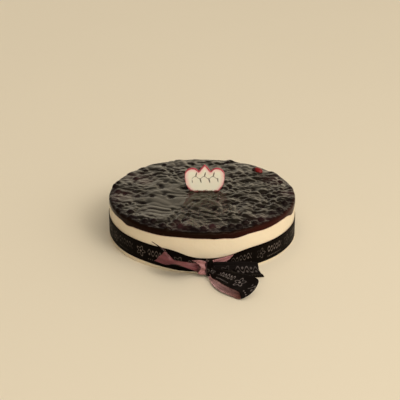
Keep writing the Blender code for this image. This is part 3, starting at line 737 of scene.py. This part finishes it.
def dome(distance, rise, radius):
    """A ball's surface over the level, its top at the rise: rise - radius + sqrt(radius^2 - distance^2),
    and straight on downwards outside 0.9 of the radius."""
    near = np.minimum(distance, 0.9 * radius)
    drop = radius - np.sqrt(radius**2 - near**2)
    return rise - drop - 2.0 * np.maximum(distance - near, 0)


def waves(places, seed, count, shortest, longest, spread, slope):
    """A sum of plane waves of chance starts, with lengths from the shortest to the longest and ways that
    scatter about the line of sight by a spread in degrees. Each wave's height is in proportion to its
    length: slope * length / (2 pi), which makes the sum's slope on average the one given."""
    draw = np.random.default_rng(seed)
    lengths = shortest * (longest / shortest) ** draw.random(count)
    ways = np.radians(90 + draw.normal(0, spread, count))
    starts = draw.uniform(0, 2 * math.pi, count)
    height = np.zeros(len(places))
    for length, way, start in zip(lengths, ways, starts):
        turn = 2 * math.pi / length * (places @ (math.cos(way), math.sin(way))) + start
        height += slope * length / (2 * math.pi) * np.sin(turn)
    return height * math.sqrt(2 / count)


def small_dips():
    """Small dips by chance over the top, clear of the plaque's foot: place, half length, depth."""
    draw = np.random.default_rng(SMALL_DIP_SEED)
    turn = draw.uniform(0, 2 * math.pi, SMALL_DIPS)
    distance = SMALL_DIP_REACH * np.sqrt(draw.random(SMALL_DIPS))
    x, y = distance * np.cos(turn), distance * np.sin(turn)
    half_length = draw.uniform(*SMALL_DIP_LENGTHS, SMALL_DIPS)
    depth = draw.uniform(*SMALL_DIP_DEPTHS, SMALL_DIPS)
    clear = distance_to_foot(np.stack([x, y], axis=1)) > SMALL_DIP_CLEARANCE
    return np.column_stack([x, y, half_length, depth])[clear]


def showing_at(angle):
    """How much of a rim berry shows: less and less towards the back."""
    return RIM_BERRY_SHOWING - RIM_BERRY_SINK * (1 + math.sin(math.radians(angle))) / 2


def smoothness(places):
    """1 where the jelly at the front lies smooth over its berries, fading to 0 round it."""
    x, y = places[:, 0] - SMOOTH_MIDDLE[0], places[:, 1] - SMOOTH_MIDDLE[1]
    return bell(np.hypot(x / SMOOTH_REACH[0], y / SMOOTH_REACH[1]), 1.0)


def glaze_relief(places):
    """At each place, the height of the glaze over its level, how red it is, and how bare of jelly its
    berries are. A berry under the jelly lifts it to a shallow bowl upside down, which leans its own way:
    rise + lean . offset - distance^2 / (2 roundness). The height is the soft highest of these, of the
    rim berries' domes and of the jelly's own level, with its waves added and the dips taken away, and
    with a mound in front of the red berry and lumps at the plaque's foot."""
    berries, rises = berry_places()
    lively = crinkle(berries)
    draw = np.random.default_rng(BERRY_SEED + 1)
    roundness = ROUNDNESS * draw.uniform(0.7, 1.5, len(berries)) / lively**1.3
    leans = LEAN * lively[:, None] * draw.normal(0, 1, (len(berries), 2))
    rises = rises * (1 - 0.5 * smoothness(berries)) - DROWNED
    rim = np.array([spot(angle, distance) for angle, distance, _ in RIM_BERRIES])
    radii = np.array([radius for _, _, radius in RIM_BERRIES])
    showing = np.array([showing_at(angle) for angle, _, _ in RIM_BERRIES])
    tints = 0.25 * draw.random(len(rim)) ** 2
    moved = places + np.stack([waves(places, *drift) for drift in DRIFTS], -1)
    height, skin, bare = np.empty(len(places)), np.empty(len(places)), np.empty(len(places))
    for part in np.array_split(np.arange(len(places)), 8):
        offset = moved[part, None, :] - berries[None, :, :]
        bowls = rises + (offset * leans).sum(axis=2) - (offset**2).sum(axis=2) / (2 * roundness)
        distance = np.hypot(*(places[part, None, :] - rim[None, :, :]).transpose(2, 0, 1))
        crown = CROWN_DEPTH * bell(distance - 0.34 * radii, 0.14 * radii)
        domes = dome(distance, showing, radii) - crown
        jelly = np.full((len(part), 1), JELLY_LEVEL)
        height[part] = soft_highest(np.column_stack([bowls, domes, jelly]), SOFTNESS)
        skin[part] = (tints * np.clip(1.1 - distance / radii, 0, 1)).max(axis=1)
        bare[part] = np.clip((domes.max(axis=1) - JELLY_LEVEL - 0.3 * MM) / MM, 0, 1)
    smooth = smoothness(places)
    strength = crinkle(places) * (1 - 0.7 * smooth)
    height += waves(moved, *LONG_WAVES) * (0.75 + 0.2 * strength) * (1 - 0.7 * smooth)
    height += waves(places, *FINE_WAVES) * np.clip(1.6 * strength - 0.4, 0.07, 1.3)
    for x, y, half_length, depth in (*SUNK, *small_dips()):
        across, away = (places[:, 0] - x) / half_length, (places[:, 1] - y) / SUNK_HALF_DEPTH
        dip = bell(np.hypot(across, away), 1.0)
        height -= depth * dip
        bare = np.maximum(bare, 1.3 * dip - 0.3)
    for x, y, reach, share in RED_PATCHES:
        skin += share * bell(np.hypot(places[:, 0] - x, places[:, 1] - y), reach)
    mound = spot(RED_BERRY_ANGLE, RED_BERRY_DISTANCE) - MOUND_AWAY
    height += MOUND_HEIGHT * bell(np.hypot(*(places - mound).T), MOUND_REACH)
    foot = distance_to_foot(places)
    x = (places[:, 0] - PLAQUE_X) / MM
    lumps = 1.0 + 0.5 * np.sin(0.9 * x + 1.0) + 0.35 * np.sin(1.9 * x)
    height += FOOT_RISE * lumps * bell(foot, FOOT_REACH) * bell(x, FOOT_HALF_LENGTH)
    return height, skin, bare


def rim_roll(turn):
    """How the rounded edge swells and sinks round the cake: slow waves, lumps of berries at the front,
    and the swellings and hollows that show in the outline at the back."""
    slow = 0.35 * np.sin(7 * turn + 1.0) + 0.3 * np.sin(13 * turn + 2.0)
    lumps = 0.35 * np.sin(33 * turn + 3 * np.sin(4 * turn)) + 0.25 * np.sin(51 * turn + 1.0)
    roll = (slow + lumps * np.clip(0.4 - np.sin(turn), 0, 1)) * MM
    for middle, reach, rise in BACK_SWELLINGS:
        roll = roll + rise * bell(turn_between(np.degrees(turn), middle), reach)
    return roll


def rim_darkness(places):
    """How dark the jelly is at the rim, where bare berries reach the edge: a ramp over a millimetre,
    whose start swings in and out round the cake and lies further in at the front."""
    turn = np.arctan2(places[:, 1], places[:, 0])
    swing = 1.4 * np.sin(31 * turn + 2 * np.sin(7 * turn))
    swing += 3.0 * bell(turn_between(np.degrees(turn), -38.0), 14.0)
    start = 91.2 - swing + 6.0 * np.clip(np.sin(turn) + 0.35, 0, 1)
    return np.clip(np.hypot(*places.T) / MM - start, 0, 1)


def build_glaze(finishes):
    """The glazed berry layer: a disc with the berries' relief, a rounded shoulder, the side down to its
    wavy edge, and a flat underside. On the shoulder the relief fades with the cosine of the turn."""
    count = 250
    disc = disc_points(count)
    border = disc_border(count)
    angles = np.degrees(np.arctan2(disc[:, 1], disc[:, 0]))
    top = disc * (side_radius(angles) + GLAZE_PROUD - SHOULDER)[:, None]
    height, skin, bare = glaze_relief(top)
    ring_angles = angles[border]
    turn = np.radians(ring_angles)
    way = np.stack([np.cos(turn), np.sin(turn)], -1)
    outside = side_radius(ring_angles) + GLAZE_PROUD
    roll = rim_roll(turn)
    bare = np.maximum(bare, rim_darkness(top))
    near_rim = np.clip((np.hypot(*top.T) - ROLL_START) / ROLL_REACH, 0, 1) ** 2
    height = height + near_rim * rim_roll(np.radians(angles))
    points = [np.column_stack([top, GLAZE_LEVEL + height])]
    skins, sides, bares = [skin], [np.zeros(len(top))], [bare]
    edge = glaze_edge(ring_angles)
    for step in range(1, SHOULDER_STEPS + 1):
        quarter = math.pi / 2 * step / SHOULDER_STEPS
        radius = outside - SHOULDER * (1 - math.sin(quarter))
        relief, ring_skin, ring_bare = glaze_relief(way * radius[:, None])
        z = GLAZE_LEVEL - SHOULDER_DROP * (1 - math.cos(quarter)) + (relief + roll) * math.cos(quarter)
        swell = np.clip(relief + roll, -1 * MM, 1 * MM)
        radius += ROLL_OUTWARDS * swell * math.sin(quarter) * math.cos(quarter)
        points.append(np.column_stack([way * radius[:, None], z]))
        skins.append(ring_skin * math.cos(quarter))
        bares.append(np.maximum(ring_bare, rim_darkness(way * radius[:, None])))
        sides.append(np.full(len(way), step / SHOULDER_STEPS))
    start = points[-1][:, 2]
    for share, bulge in SIDE_BULGES:
        z = start + (edge - start) * share
        points.append(np.column_stack([way * (outside + bulge)[:, None], z]))
    points.append(np.column_stack([way * SEAT_RADIUS, np.full(len(way), FILLING_HEIGHT)]))
    points.append(np.array([[0.0, 0.0, FILLING_HEIGHT]]))
    points = np.concatenate(points)
    below = len(points) - sum(len(group) for group in skins)
    skins.append(np.zeros(below))
    sides.append(np.ones(below))
    bares.append(np.zeros(below))
    top_faces, _, _ = grid_faces(count + 1, count + 1)
    first = len(top)
    rings = SHOULDER_STEPS + len(SIDE_BULGES) + 1
    around = len(border)
    here = np.arange(around)
    there = (here + 1) % around
    collar = np.stack([border[there], border[here], first + here, first + there], -1)
    walls, _, _ = grid_faces(rings, around, wrapped=True, first=first)
    floor = fan_faces(first + (rings - 1) * around, around, first + rings * around)
    values = (("skin", np.concatenate(skins)), ("side", np.concatenate(sides)))
    faces = [top_faces, collar, walls[:, ::-1], floor[:, ::-1]]
    every_bare = np.concatenate(bares)
    parts = np.concatenate([2 * (every_bare[group].mean(axis=1) > BARE_FROM) for group in faces])
    parts[len(top_faces) + (DARK_STEP + 1) * around:] = 1
    return add_piece("berry_glaze", points, faces, finishes, values=values, parts=parts)


def build_cream(finish):
    """The cream body: rings up the side, each at the cake's radius with a little unevenness, a rounded
    foot, and flat ends."""
    around = 720
    angles = np.arange(around) * 360.0 / around
    turn = np.radians(angles)
    way = np.stack([np.cos(turn), np.sin(turn)], -1)
    outside = side_radius(angles)
    edge = glaze_edge(angles) - CREAM_GAP
    rows = []
    for quarter in np.linspace(0, math.pi / 2, 5):
        radius = outside - BASE_CHAMFER * (1 - math.sin(quarter))
        rows.append((radius, np.full(around, BASE_CHAMFER * (1 - math.cos(quarter)))))
    for share in np.linspace(0.04, 1.0, 30):
        z = BASE_CHAMFER + (edge - BASE_CHAMFER) * share
        swell = 0.05 * np.sin(9 * turn + 14 * share) + 0.04 * np.sin(23 * turn - 9 * share + 2)
        rows.append((outside + (swell - 0.05) * MM, z))
    rows.append((np.full(around, SEAT_RADIUS), np.full(around, FILLING_HEIGHT - CREAM_GAP)))
    points = [np.column_stack([way * radius[:, None], z]) for radius, z in rows]
    stain = np.concatenate([bell((edge - z) / MM, 0.7) for _, z in rows] + [[0, 0]])
    low, high = len(rows) * around, len(rows) * around + 1
    points.append(np.array([[0, 0, 0], [0, 0, FILLING_HEIGHT - CREAM_GAP]]))
    walls, _, _ = grid_faces(len(rows), around, wrapped=True)
    ends = [fan_faces(0, around, low, reverse=True), fan_faces((len(rows) - 1) * around, around, high)]
    faces = [walls, *ends]
    return add_piece("cream_body", np.concatenate(points), faces, [finish], values=(("stain", stain),))


def build_red_berry(finish):
    """The red berry: an ellipsoid of its three sizes, its long side along the rim, drawn in by shallow
    wrinkles that run lengthwise."""
    rows, around = 33, 64
    rise = np.linspace(-math.pi / 2, math.pi / 2, rows)[1:-1, None]
    turn = (np.arange(around) * 2 * math.pi / around)[None, :]
    wrinkle = 1 - 0.035 * (0.5 + 0.5 * np.cos(7 * rise + 2 * np.sin(turn))) * np.cos(rise)
    x = RED_BERRY_WIDTH / 2 * np.cos(rise) * np.cos(turn) * wrinkle
    y = RED_BERRY_LENGTH / 2 * np.cos(rise) * np.sin(turn) * wrinkle
    z = RED_BERRY_HEIGHT / 2 * np.sin(rise) * wrinkle
    points = np.stack([x, y, z], -1).reshape(-1, 3)
    points = np.concatenate([points, [[0, 0, -RED_BERRY_HEIGHT / 2], [0, 0, RED_BERRY_HEIGHT / 2]]])
    lean = math.radians(RED_BERRY_ANGLE)
    turned = points @ np.array([
        [math.cos(lean), math.sin(lean), 0.0],
        [-math.sin(lean), math.cos(lean), 0.0],
        [0.0, 0.0, 1.0],
    ])
    placed = turned + np.array([*spot(RED_BERRY_ANGLE, RED_BERRY_DISTANCE), RED_BERRY_MIDDLE])
    count = (rows - 2) * around
    walls, _, _ = grid_faces(rows - 2, around, wrapped=True)
    ends = [fan_faces(0, around, count, reverse=True), fan_faces(count - around, around, count + 1)]
    return add_piece("red_berry_fruit", placed, [walls, *ends], [finish])


def plaque_outline():
    """The plaque's outline about its middle line, once round: for the belly a fuller half ellipse, whose
    cosine and sine are raised to a power below 1, an arc for each lobe down to the notch, and a pointed
    middle whose width shrinks with the height to a power."""
    belly = np.radians(np.linspace(90, LOBE_START, 46))
    notch_turn = math.pi - math.asin((NOTCH_HEIGHT - LOBE_MIDDLE) / LOBE_RADIUS)
    lobe = np.linspace(-math.radians(LOBE_START), notch_turn, 36)
    share = np.linspace(0, 1, 24)[1:]
    notch_half_width = LOBE_OFFSET + LOBE_RADIUS * math.cos(notch_turn)
    x = np.concatenate([
        PLAQUE_HALF_WIDTH * np.abs(np.cos(belly)) ** BELLY_FULLNESS,
        LOBE_OFFSET + LOBE_RADIUS * np.cos(lobe),
        notch_half_width * (1 - share) ** TIP_FULLNESS,
    ])
    z = np.concatenate([
        PLAQUE_MIDDLE - PLAQUE_BELLY_HEIGHT * np.sin(belly) ** BELLY_FULLNESS,
        LOBE_MIDDLE + LOBE_RADIUS * np.sin(lobe),
        NOTCH_HEIGHT + share * (TIP_HEIGHT - NOTCH_HEIGHT),
    ])
    half = np.stack([x, z], -1)
    return np.concatenate([half, half[-2:0:-1] * (-1, 1)])


def build_plaque(finish):
    """The plaque: its outline drawn in towards a point low on its middle line, ring by ring, with its
    edge rounded off. The number at each point is its distance from the outline."""
    outline = plaque_outline()
    middle = np.array([0.0, PLAQUE_RING_MIDDLE])
    around = len(outline)
    half = PLAQUE_THICKNESS / 2
    shares = np.linspace(0.04, 0.96, 24)
    rings = [(share, 0.0, half) for share in shares]
    for turn in np.linspace(0, math.pi, 13):
        inset = PLAQUE_ROUNDING * (1 - math.sin(turn))
        depth = (half - PLAQUE_ROUNDING) * np.sign(np.cos(turn)) + PLAQUE_ROUNDING * math.cos(turn)
        rings.append((1.0, inset, depth))
    rings += [(share, 0.0, -half) for share in shares[::-1]]
    out = outline - middle
    length = np.hypot(*out.T)[:, None]
    flat = np.concatenate([middle + out * share - out / length * inset for share, inset, _ in rings])
    depth = np.concatenate([np.full(around, depth) for _, _, depth in rings])
    points = np.column_stack([PLAQUE_X + flat[:, 0], PLAQUE_Y - depth, flat[:, 1]])
    rim = np.hypot(*(flat[:, None, :] - outline[None, :, :]).transpose(2, 0, 1)).min(axis=1)
    count = len(points)
    ends = [[PLAQUE_X, PLAQUE_Y - half, middle[1]], [PLAQUE_X, PLAQUE_Y + half, middle[1]]]
    points = np.concatenate([points, ends])
    rim = np.append(rim, [0.02, 0.02])
    walls, _, _ = grid_faces(len(rings), around, wrapped=True)
    front = fan_faces(0, around, count)
    rear = fan_faces(count - around, around, count + 1, reverse=True)
    return add_piece("sugar_plaque", points, [walls[:, ::-1], front, rear], [finish], values=(("rim", rim),))


def strip_surface(upper, lower, sections, across, bulge=(0.0, 0.0, 0.0), cut_back=None, returns=False):
    """A length of ribbon between two edges, as a grid of points: straight across from one edge curve to
    the other, plus a bulge that is largest on the middle line and grows from the knot outwards, or up
    to half the length of a strip that returns to the knot. cut_back gives how much of the length is
    cut off at each share of the width."""
    share = np.linspace(0, 1, across)
    length = np.ones(across) if cut_back is None else 1 - cut_back(share)
    place = np.linspace(0, 1, sections)[:, None] * length[None, :]
    high, low = curve_through(upper, place), curve_through(lower, place)
    width = share[None, :, None]
    growth = np.sin(np.pi * place) ** 3 if returns else np.sin(np.pi * place**0.7 / 2)
    return (high + (low - high) * width + 4 * width * (1 - width) * growth[..., None] * bulge) * MM


def notch(share):
    """Cut of the right tail's end: straight in from both corners to a shallow notch."""
    return NOTCH_SHARE * (1 - np.abs(2 * share - 0.9)).clip(0, 1)


def hollow(share):
    """Cut of the left pleat's end: hollow between its corners."""
    return PLEAT_HOLLOW * (1 - np.abs(2 * share - 1) ** 1.5)


def surface_normals(surface):
    """Unit normals of a grid of points: the cross product of its two directions."""
    along, across = np.gradient(surface, axis=(0, 1))
    normal = np.cross(along, across)
    return normal / np.linalg.norm(normal, axis=-1, keepdims=True)


def creased(surface, folds, phase):
    """The surface with lengthwise folds that take up the ribbon's width where its edges draw together.
    A wave of n folds across a width w is about 1 + slope^2 / 4 times as wide when flat, with
    slope = 2 pi n depth / w, which gives the depth, up to a limit."""
    rows, columns, _ = surface.shape
    along = np.linspace(0, 1, rows)[:, None]
    across = np.linspace(0, 1, columns)[None, :]
    width = np.linalg.norm(np.diff(surface, axis=1), axis=2).sum(axis=1)
    slope = 2 * np.sqrt(np.maximum(RIBBON_WIDTH / width - 1, 0))
    depth = np.minimum(slope * width / (2 * math.pi * folds), FOLD_LIMIT)[:, None]
    fold = np.sin(2 * math.pi * folds * across + phase + 0.8 * along)
    sway = 0.15 * MM * np.sin(9 * along + 4 * across + phase)
    return surface + surface_normals(surface) * (depth * fold + sway)[..., None]


def thicken(ribbon):
    """A thin wall half on each side of the surface. A second finish is the other side's."""
    wall = ribbon.modifiers.new("thickness", "SOLIDIFY")
    wall.thickness = RIBBON_THICKNESS
    wall.offset = 0.0
    wall.material_offset = 1


def ribbon_piece(name, surface, finishes, start=0.0):
    """A ribbon from a grid of points. Its flat map runs in metres along its length, from the start given,
    and across its width. With it come its longest and its mean length."""
    rows, columns, _ = surface.shape
    steps = np.linalg.norm(np.diff(surface, axis=0), axis=2).max(axis=1)
    along = start + np.concatenate([[0.0], np.cumsum(steps)])
    across = np.linspace(RIBBON_WIDTH, 0.0, columns)
    faces, corner_row, corner_column = grid_faces(rows, columns)
    flat = np.stack([along[corner_row], across[corner_column]], -1)
    made = add_piece(name, surface.reshape(-1, 3), [faces], finishes, flat_map=flat)
    thicken(made)
    lengths = np.linalg.norm(np.diff(surface, axis=0), axis=2).sum(axis=0)
    return made, along[-1] - start, lengths.mean()


def build_band(finishes):
    """The band: at each angle a straight line up the cake's side from its lower to its upper edge, with
    low folds across the front that close in on the knot."""
    around, across = 720, 17
    angles = np.arange(around) * 360.0 / around
    turn = np.radians(angles)
    lower, upper = band_edges(angles)
    share = np.linspace(1, 0, across)[None, :]
    z = lower[:, None] + (upper - lower)[:, None] * share
    x = CAKE_RADIUS * np.cos(turn)
    front = np.clip(-np.sin(turn), 0, 1)
    gather = np.exp(-np.abs(x - KNOT_MIDDLE[0]) / (18 * MM)) * front
    folds = 0.5 + 0.5 * np.cos(2 * math.pi * 2.6 * share + 0.8)
    radius = (side_radius(angles) + BAND_STAND_OFF)[:, None] + 0.9 * MM * gather[:, None] * folds
    surface = np.stack([radius * np.cos(turn)[:, None], radius * np.sin(turn)[:, None], z], -1)
    faces, corner_row, corner_column = grid_faces(around + 1, across)
    faces = faces % (around * across)
    along = np.arange(around + 1) * 2 * math.pi * CAKE_RADIUS / around
    flat = np.stack([along[corner_row], np.linspace(RIBBON_WIDTH, 0, across)[corner_column]], -1)
    made = add_piece("ribbon_round_side", surface.reshape(-1, 3), [faces], finishes, flat_map=flat)
    thicken(made)
    return made


def build_knot(finishes):
    """The knot: rings of an ellipse whose size is the sine of the turn from its lower to its upper end,
    to a power, with four creases that run up it, and a step where the ribbon shows its reverse."""
    rows, around = 41, 96
    rise = (np.arange(rows) + 0.5) / rows * math.pi
    turn = np.arange(around) * 2 * math.pi / around
    lift, way = rise[:, None], turn[None, :]
    girth = np.sin(lift) ** KNOT_TAPER
    crease = 1 - 0.10 * np.exp(-((np.sin(2 * way + 0.5 + 0.25 * np.cos(lift))) / 0.28) ** 2)
    reverse_side = (turn > math.radians(158)) & (turn < math.radians(243))
    step = np.where(reverse_side, 0.94, 1.0)[None, :]
    size = girth * crease * step
    x = KNOT_MIDDLE[0] + KNOT_HALF_WIDTH * size * np.cos(way)
    y = KNOT_MIDDLE[1] + KNOT_HALF_DEPTH * size * np.sin(way)
    z = KNOT_BOTTOM + (KNOT_TOP - KNOT_BOTTOM) * (1 - np.cos(lift)) / 2 + 0 * way
    points = np.stack([x, y, z], -1).reshape(-1, 3)
    points = np.concatenate([points, [[*KNOT_MIDDLE, KNOT_BOTTOM], [*KNOT_MIDDLE, KNOT_TOP]]])
    count = rows * around
    walls, corner_row, corner_column = grid_faces(rows, around, wrapped=True)
    flat = np.stack([corner_row * 0.0005, corner_column * RIBBON_WIDTH / around], -1)
    ends = [fan_faces(0, around, count, reverse=True), fan_faces(count - around, around, count + 1)]
    flat_ends = np.zeros((2 * around * 3, 2))
    parts = np.concatenate([reverse_side[corner_column[:, 0] % around], np.zeros(2 * around)])
    flat_map = np.concatenate([flat.reshape(-1, 2), flat_ends])
    return add_piece("ribbon_knot", points, [walls, *ends], finishes, flat_map=flat_map, parts=parts)


# The scene round the cake


def add_camera():
    """The camera looks along the cake's middle plane, turned so that the base's middle lies at its pixel."""
    camera = bpy.data.cameras.new("camera")
    camera.sensor_width = SENSOR_WIDTH_MM
    camera.lens = SENSOR_WIDTH_MM * FOCAL_PIXELS / FRAME_PIXELS
    made = bpy.data.objects.new("camera", camera)
    bpy.context.scene.collection.objects.link(made)
    elevation = math.radians(CAMERA_ELEVATION)
    made.location = (0, -CAMERA_DISTANCE * math.cos(elevation), CAMERA_DISTANCE * math.sin(elevation))
    tilt = math.pi / 2 - elevation + math.atan(MIDDLE_PIXEL[1] / FOCAL_PIXELS)
    made.rotation_euler = (tilt, 0, math.atan(MIDDLE_PIXEL[0] / FOCAL_PIXELS))
    bpy.context.scene.camera = made


def add_light(name, place, size, energy, colour):
    """A square soft light that points at the cake."""
    light = bpy.data.lights.new(name, "AREA")
    light.size = size
    light.energy = energy
    light.color = colour
    made = bpy.data.objects.new(name, light)
    bpy.context.scene.collection.objects.link(made)
    made.location = place
    direction = made.location.copy()
    made.rotation_euler = direction.to_track_quat("Z", "Y").to_euler()


def add_surroundings():
    """A soft room: a pale wall low down behind the cake, a broad window high in front at the right, and
    dim walls elsewhere."""
    world = bpy.data.worlds.new("soft_room")
    bpy.context.scene.world = world
    world.use_nodes = True
    tree = world.node_tree
    places = tree.nodes.new("ShaderNodeTexCoord")
    parts = tree.nodes.new("ShaderNodeSeparateXYZ")
    tree.links.new(places.outputs["Generated"], parts.inputs[0])
    right, back, up = (Number(tree, socket) for socket in parts.outputs)
    to_right = (right * 1.5 + 1.0).most(0.3).least(1.4)
    wall = (back * -1.0).under(-0.55, 0.7) * up.under(0.60, 0.34) * to_right * WALL_LIGHT
    to_window = right * 0.45 - back * 0.70 + up * 0.555
    window = (to_window * -1.0).under(-0.72, 0.45) * WINDOW_LIGHT
    right_side = (right * -1.0).under(-0.8, 0.5) * up.under(0.5, 0.5) * SIDE_LIGHT
    ceiling = up.under(0.2, 1.0) * -0.06 + ROOM_LIGHT
    backdrop = tree.nodes["Background"]
    tint = tree.nodes.new("ShaderNodeMix")
    tint.data_type = "RGBA"
    tint.inputs[6].default_value = (1.0, 0.93, 0.80, 1)
    tint.inputs[7].default_value = (1.0, 0.86, 0.64, 1)
    tree.links.new(wall.clamped().socket, tint.inputs["Factor"])
    tree.links.new(tint.outputs[2], backdrop.inputs["Color"])
    tree.links.new((wall + window + right_side + ceiling).socket, backdrop.inputs["Strength"])


def add_floor():
    """A plain pale floor."""
    finish = Finish("pale_floor", roughness=0.7)
    finish.colour(finish.blend(finish.noise(0.4, 2.0), (0.82, 0.73, 0.58), (0.84, 0.75, 0.60)))
    line = np.linspace(-4.0, 4.0, 41)
    x, y = np.meshgrid(line, line)
    points = np.stack([x, y, np.zeros_like(x)], -1).reshape(-1, 3)
    faces, _, _ = grid_faces(41, 41)
    add_piece("floor", points, [faces], [finish.material])


def dress(piece, slot, *nodes):
    """Puts a piece on the cake and hides the nodes that it replaces. The slot is not used."""
    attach(piece, "root")
    if nodes:
        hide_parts(*nodes)


def build_ribbons():
    """The band, the knot and the bow's strips. The ribbon is nearly black outside and pink on its reverse,
    printed in wine red. The bow's faces are a lighter black than the band's, painted light; the loop's
    reverse is a lighter pink that turns dark red further along, painted light and shade; the knot's and the
    left tail's reverse are darker, painted shade. A strip that shows its reverse to the front has its two
    finishes exchanged."""
    black, pale, wine = (0.0026, 0.0015, 0.0010), (0.36, 0.30, 0.29), (0.045, 0.018, 0.021)
    sheen = {"roughness": 0.42, "shine": 0.3}
    band_face = satin_finish("ribbon_face", black, (0.21, 0.17, 0.15), 0.85, shine=0.02)
    # The bow's faces have a lighter black ground than the band's, a lit copy of the same black: painted
    # light.
    face = satin_finish("bow_face_painted_light", (0.0046, 0.0028, 0.0024), pale, 1.1, fading=1.6)
    tail_face_painted_light = satin_finish("tail_face_painted_light", (0.0042, 0.0026, 0.0022), pale, 0.3, scale=1.15)
    back = satin_finish("bow_reverse", (0.28, 0.124, 0.126), wine, 2.2, scale=0.52, fading=0.8, **sheen)
    # The left tail's reverse is a darker copy of the reverse's pink: painted shade.
    shaded_tail_back = satin_finish("tail_reverse_painted_shade", (0.115, 0.034, 0.037), wine, 0.5, scale=0.7, **sheen)
    # The knot's reverse is a much darker copy of the reverse's pink: painted shade in the gathered knot.
    knot_back_painted_shade = satin_finish("knot_reverse_painted_shade", (0.030, 0.011, 0.014), wine, 0.0, **sheen)
    # The loop's reverse is a lighter copy of the reverse's pink, painted light, and its ground turns dark
    # red further along the loop, painted shade.
    loop_print_and_shade = {"scale": 0.52, "ends": ((0.17, 0.06, 0.045), 0.078, 0.11), "fading": 0.6}
    loop_back_lit_and_shaded = satin_finish("loop_reverse_painted_light_and_shade", (0.62, 0.37, 0.37), wine, 2.6, **loop_print_and_shade, **sheen)
    band = build_band([band_face, back])
    dress(band, "dark_satin", "ribbon_band")
    knot = build_knot([band_face, knot_back_painted_shade])
    dress(knot, "dark_satin", "ribbon_bow")
    corner = strip_surface(POINT_UPPER, POINT_LOWER, 30, 5)
    point, _, _ = ribbon_piece("ribbon_tail_point", corner, (back, face))
    dress(point, "dark_satin", "ribbon_bow")
    tail_left, tail_right = (TAIL_LEFT_UPPER, TAIL_LEFT_LOWER), (TAIL_RIGHT_UPPER, TAIL_RIGHT_LOWER)
    pleat_left, pleat_right = (PLEAT_LEFT_UPPER, PLEAT_LEFT_LOWER), (PLEAT_RIGHT_UPPER, PLEAT_RIGHT_LOWER)
    strips = (
        ("ribbon_tail_left", tail_left, 70, (0, 0, 0), None, (face, shaded_tail_back), 2.0),
        ("ribbon_pleat_left", pleat_left, 24, PLEAT_BULGE, hollow, (face, back), 2.0),
        ("ribbon_pleat_right", pleat_right, 24, PLEAT_BULGE, None, (back, face), 3.0),
        ("ribbon_tail_right", tail_right, 70, TAIL_RIGHT_BULGE, notch, (tail_face_painted_light, back), 3.0),
        ("ribbon_loop", (LOOP_UPPER, LOOP_LOWER), 140, LOOP_BULGE, None, (loop_back_lit_and_shaded, face), 2.0),
    )
    for number, (name, edges, sections, bulge, cut, finishes, folds) in enumerate(strips):
        strip = strip_surface(*edges, sections, 25, bulge, cut, returns=name == "ribbon_loop")
        surface = creased(strip, folds, 1.3 * number)
        made, longest, mean = ribbon_piece(name, surface, finishes, start=0.013 * number)
        dress(made, "dark_satin", "ribbon_bow")
        corners = [point] if name == "ribbon_tail_left" else []
        RIBBON_WIDTH * mean


def main():
    """Everything in order."""
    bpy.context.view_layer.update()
    add_camera()
    add_surroundings()
    add_light("window", (0.85, -1.05, 1.15), 0.6, 7.0, (1.0, 0.95, 0.87))
    add_floor()
    dress(build_cream(cream_finish()), "cream_filling", "filling")
    jelly_colours = (0.0032, 0.0024, 0.0015), (0.009, 0.0055, 0.0032)
    berry_colours = (0.0020, 0.0012, 0.0012), (0.010, 0.0045, 0.0052)
    jelly = glaze_finish("glaze_top", 0.54, *jelly_colours)
    side = glaze_finish("glaze_side", 0.06, *jelly_colours)
    bare = glaze_finish("bare_berries", 0.16, *berry_colours, roughness=0.16, wrinkles=0.0005)
    dress(build_glaze([jelly, side, bare]), "berry_glaze", "topping")
    dress(build_red_berry(red_skin_finish()), "red_berry_skin", "red_berry")
    dress(build_plaque(plaque_finish()), "sugar_plaque", "plaque")
    build_ribbons()
    bpy.context.scene.view_settings.view_transform = "Standard"


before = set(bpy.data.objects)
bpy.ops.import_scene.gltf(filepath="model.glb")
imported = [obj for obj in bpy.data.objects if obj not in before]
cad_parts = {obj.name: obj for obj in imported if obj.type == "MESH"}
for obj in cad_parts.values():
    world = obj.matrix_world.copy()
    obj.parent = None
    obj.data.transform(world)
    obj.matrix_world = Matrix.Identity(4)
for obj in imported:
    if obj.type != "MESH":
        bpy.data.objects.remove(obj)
main()
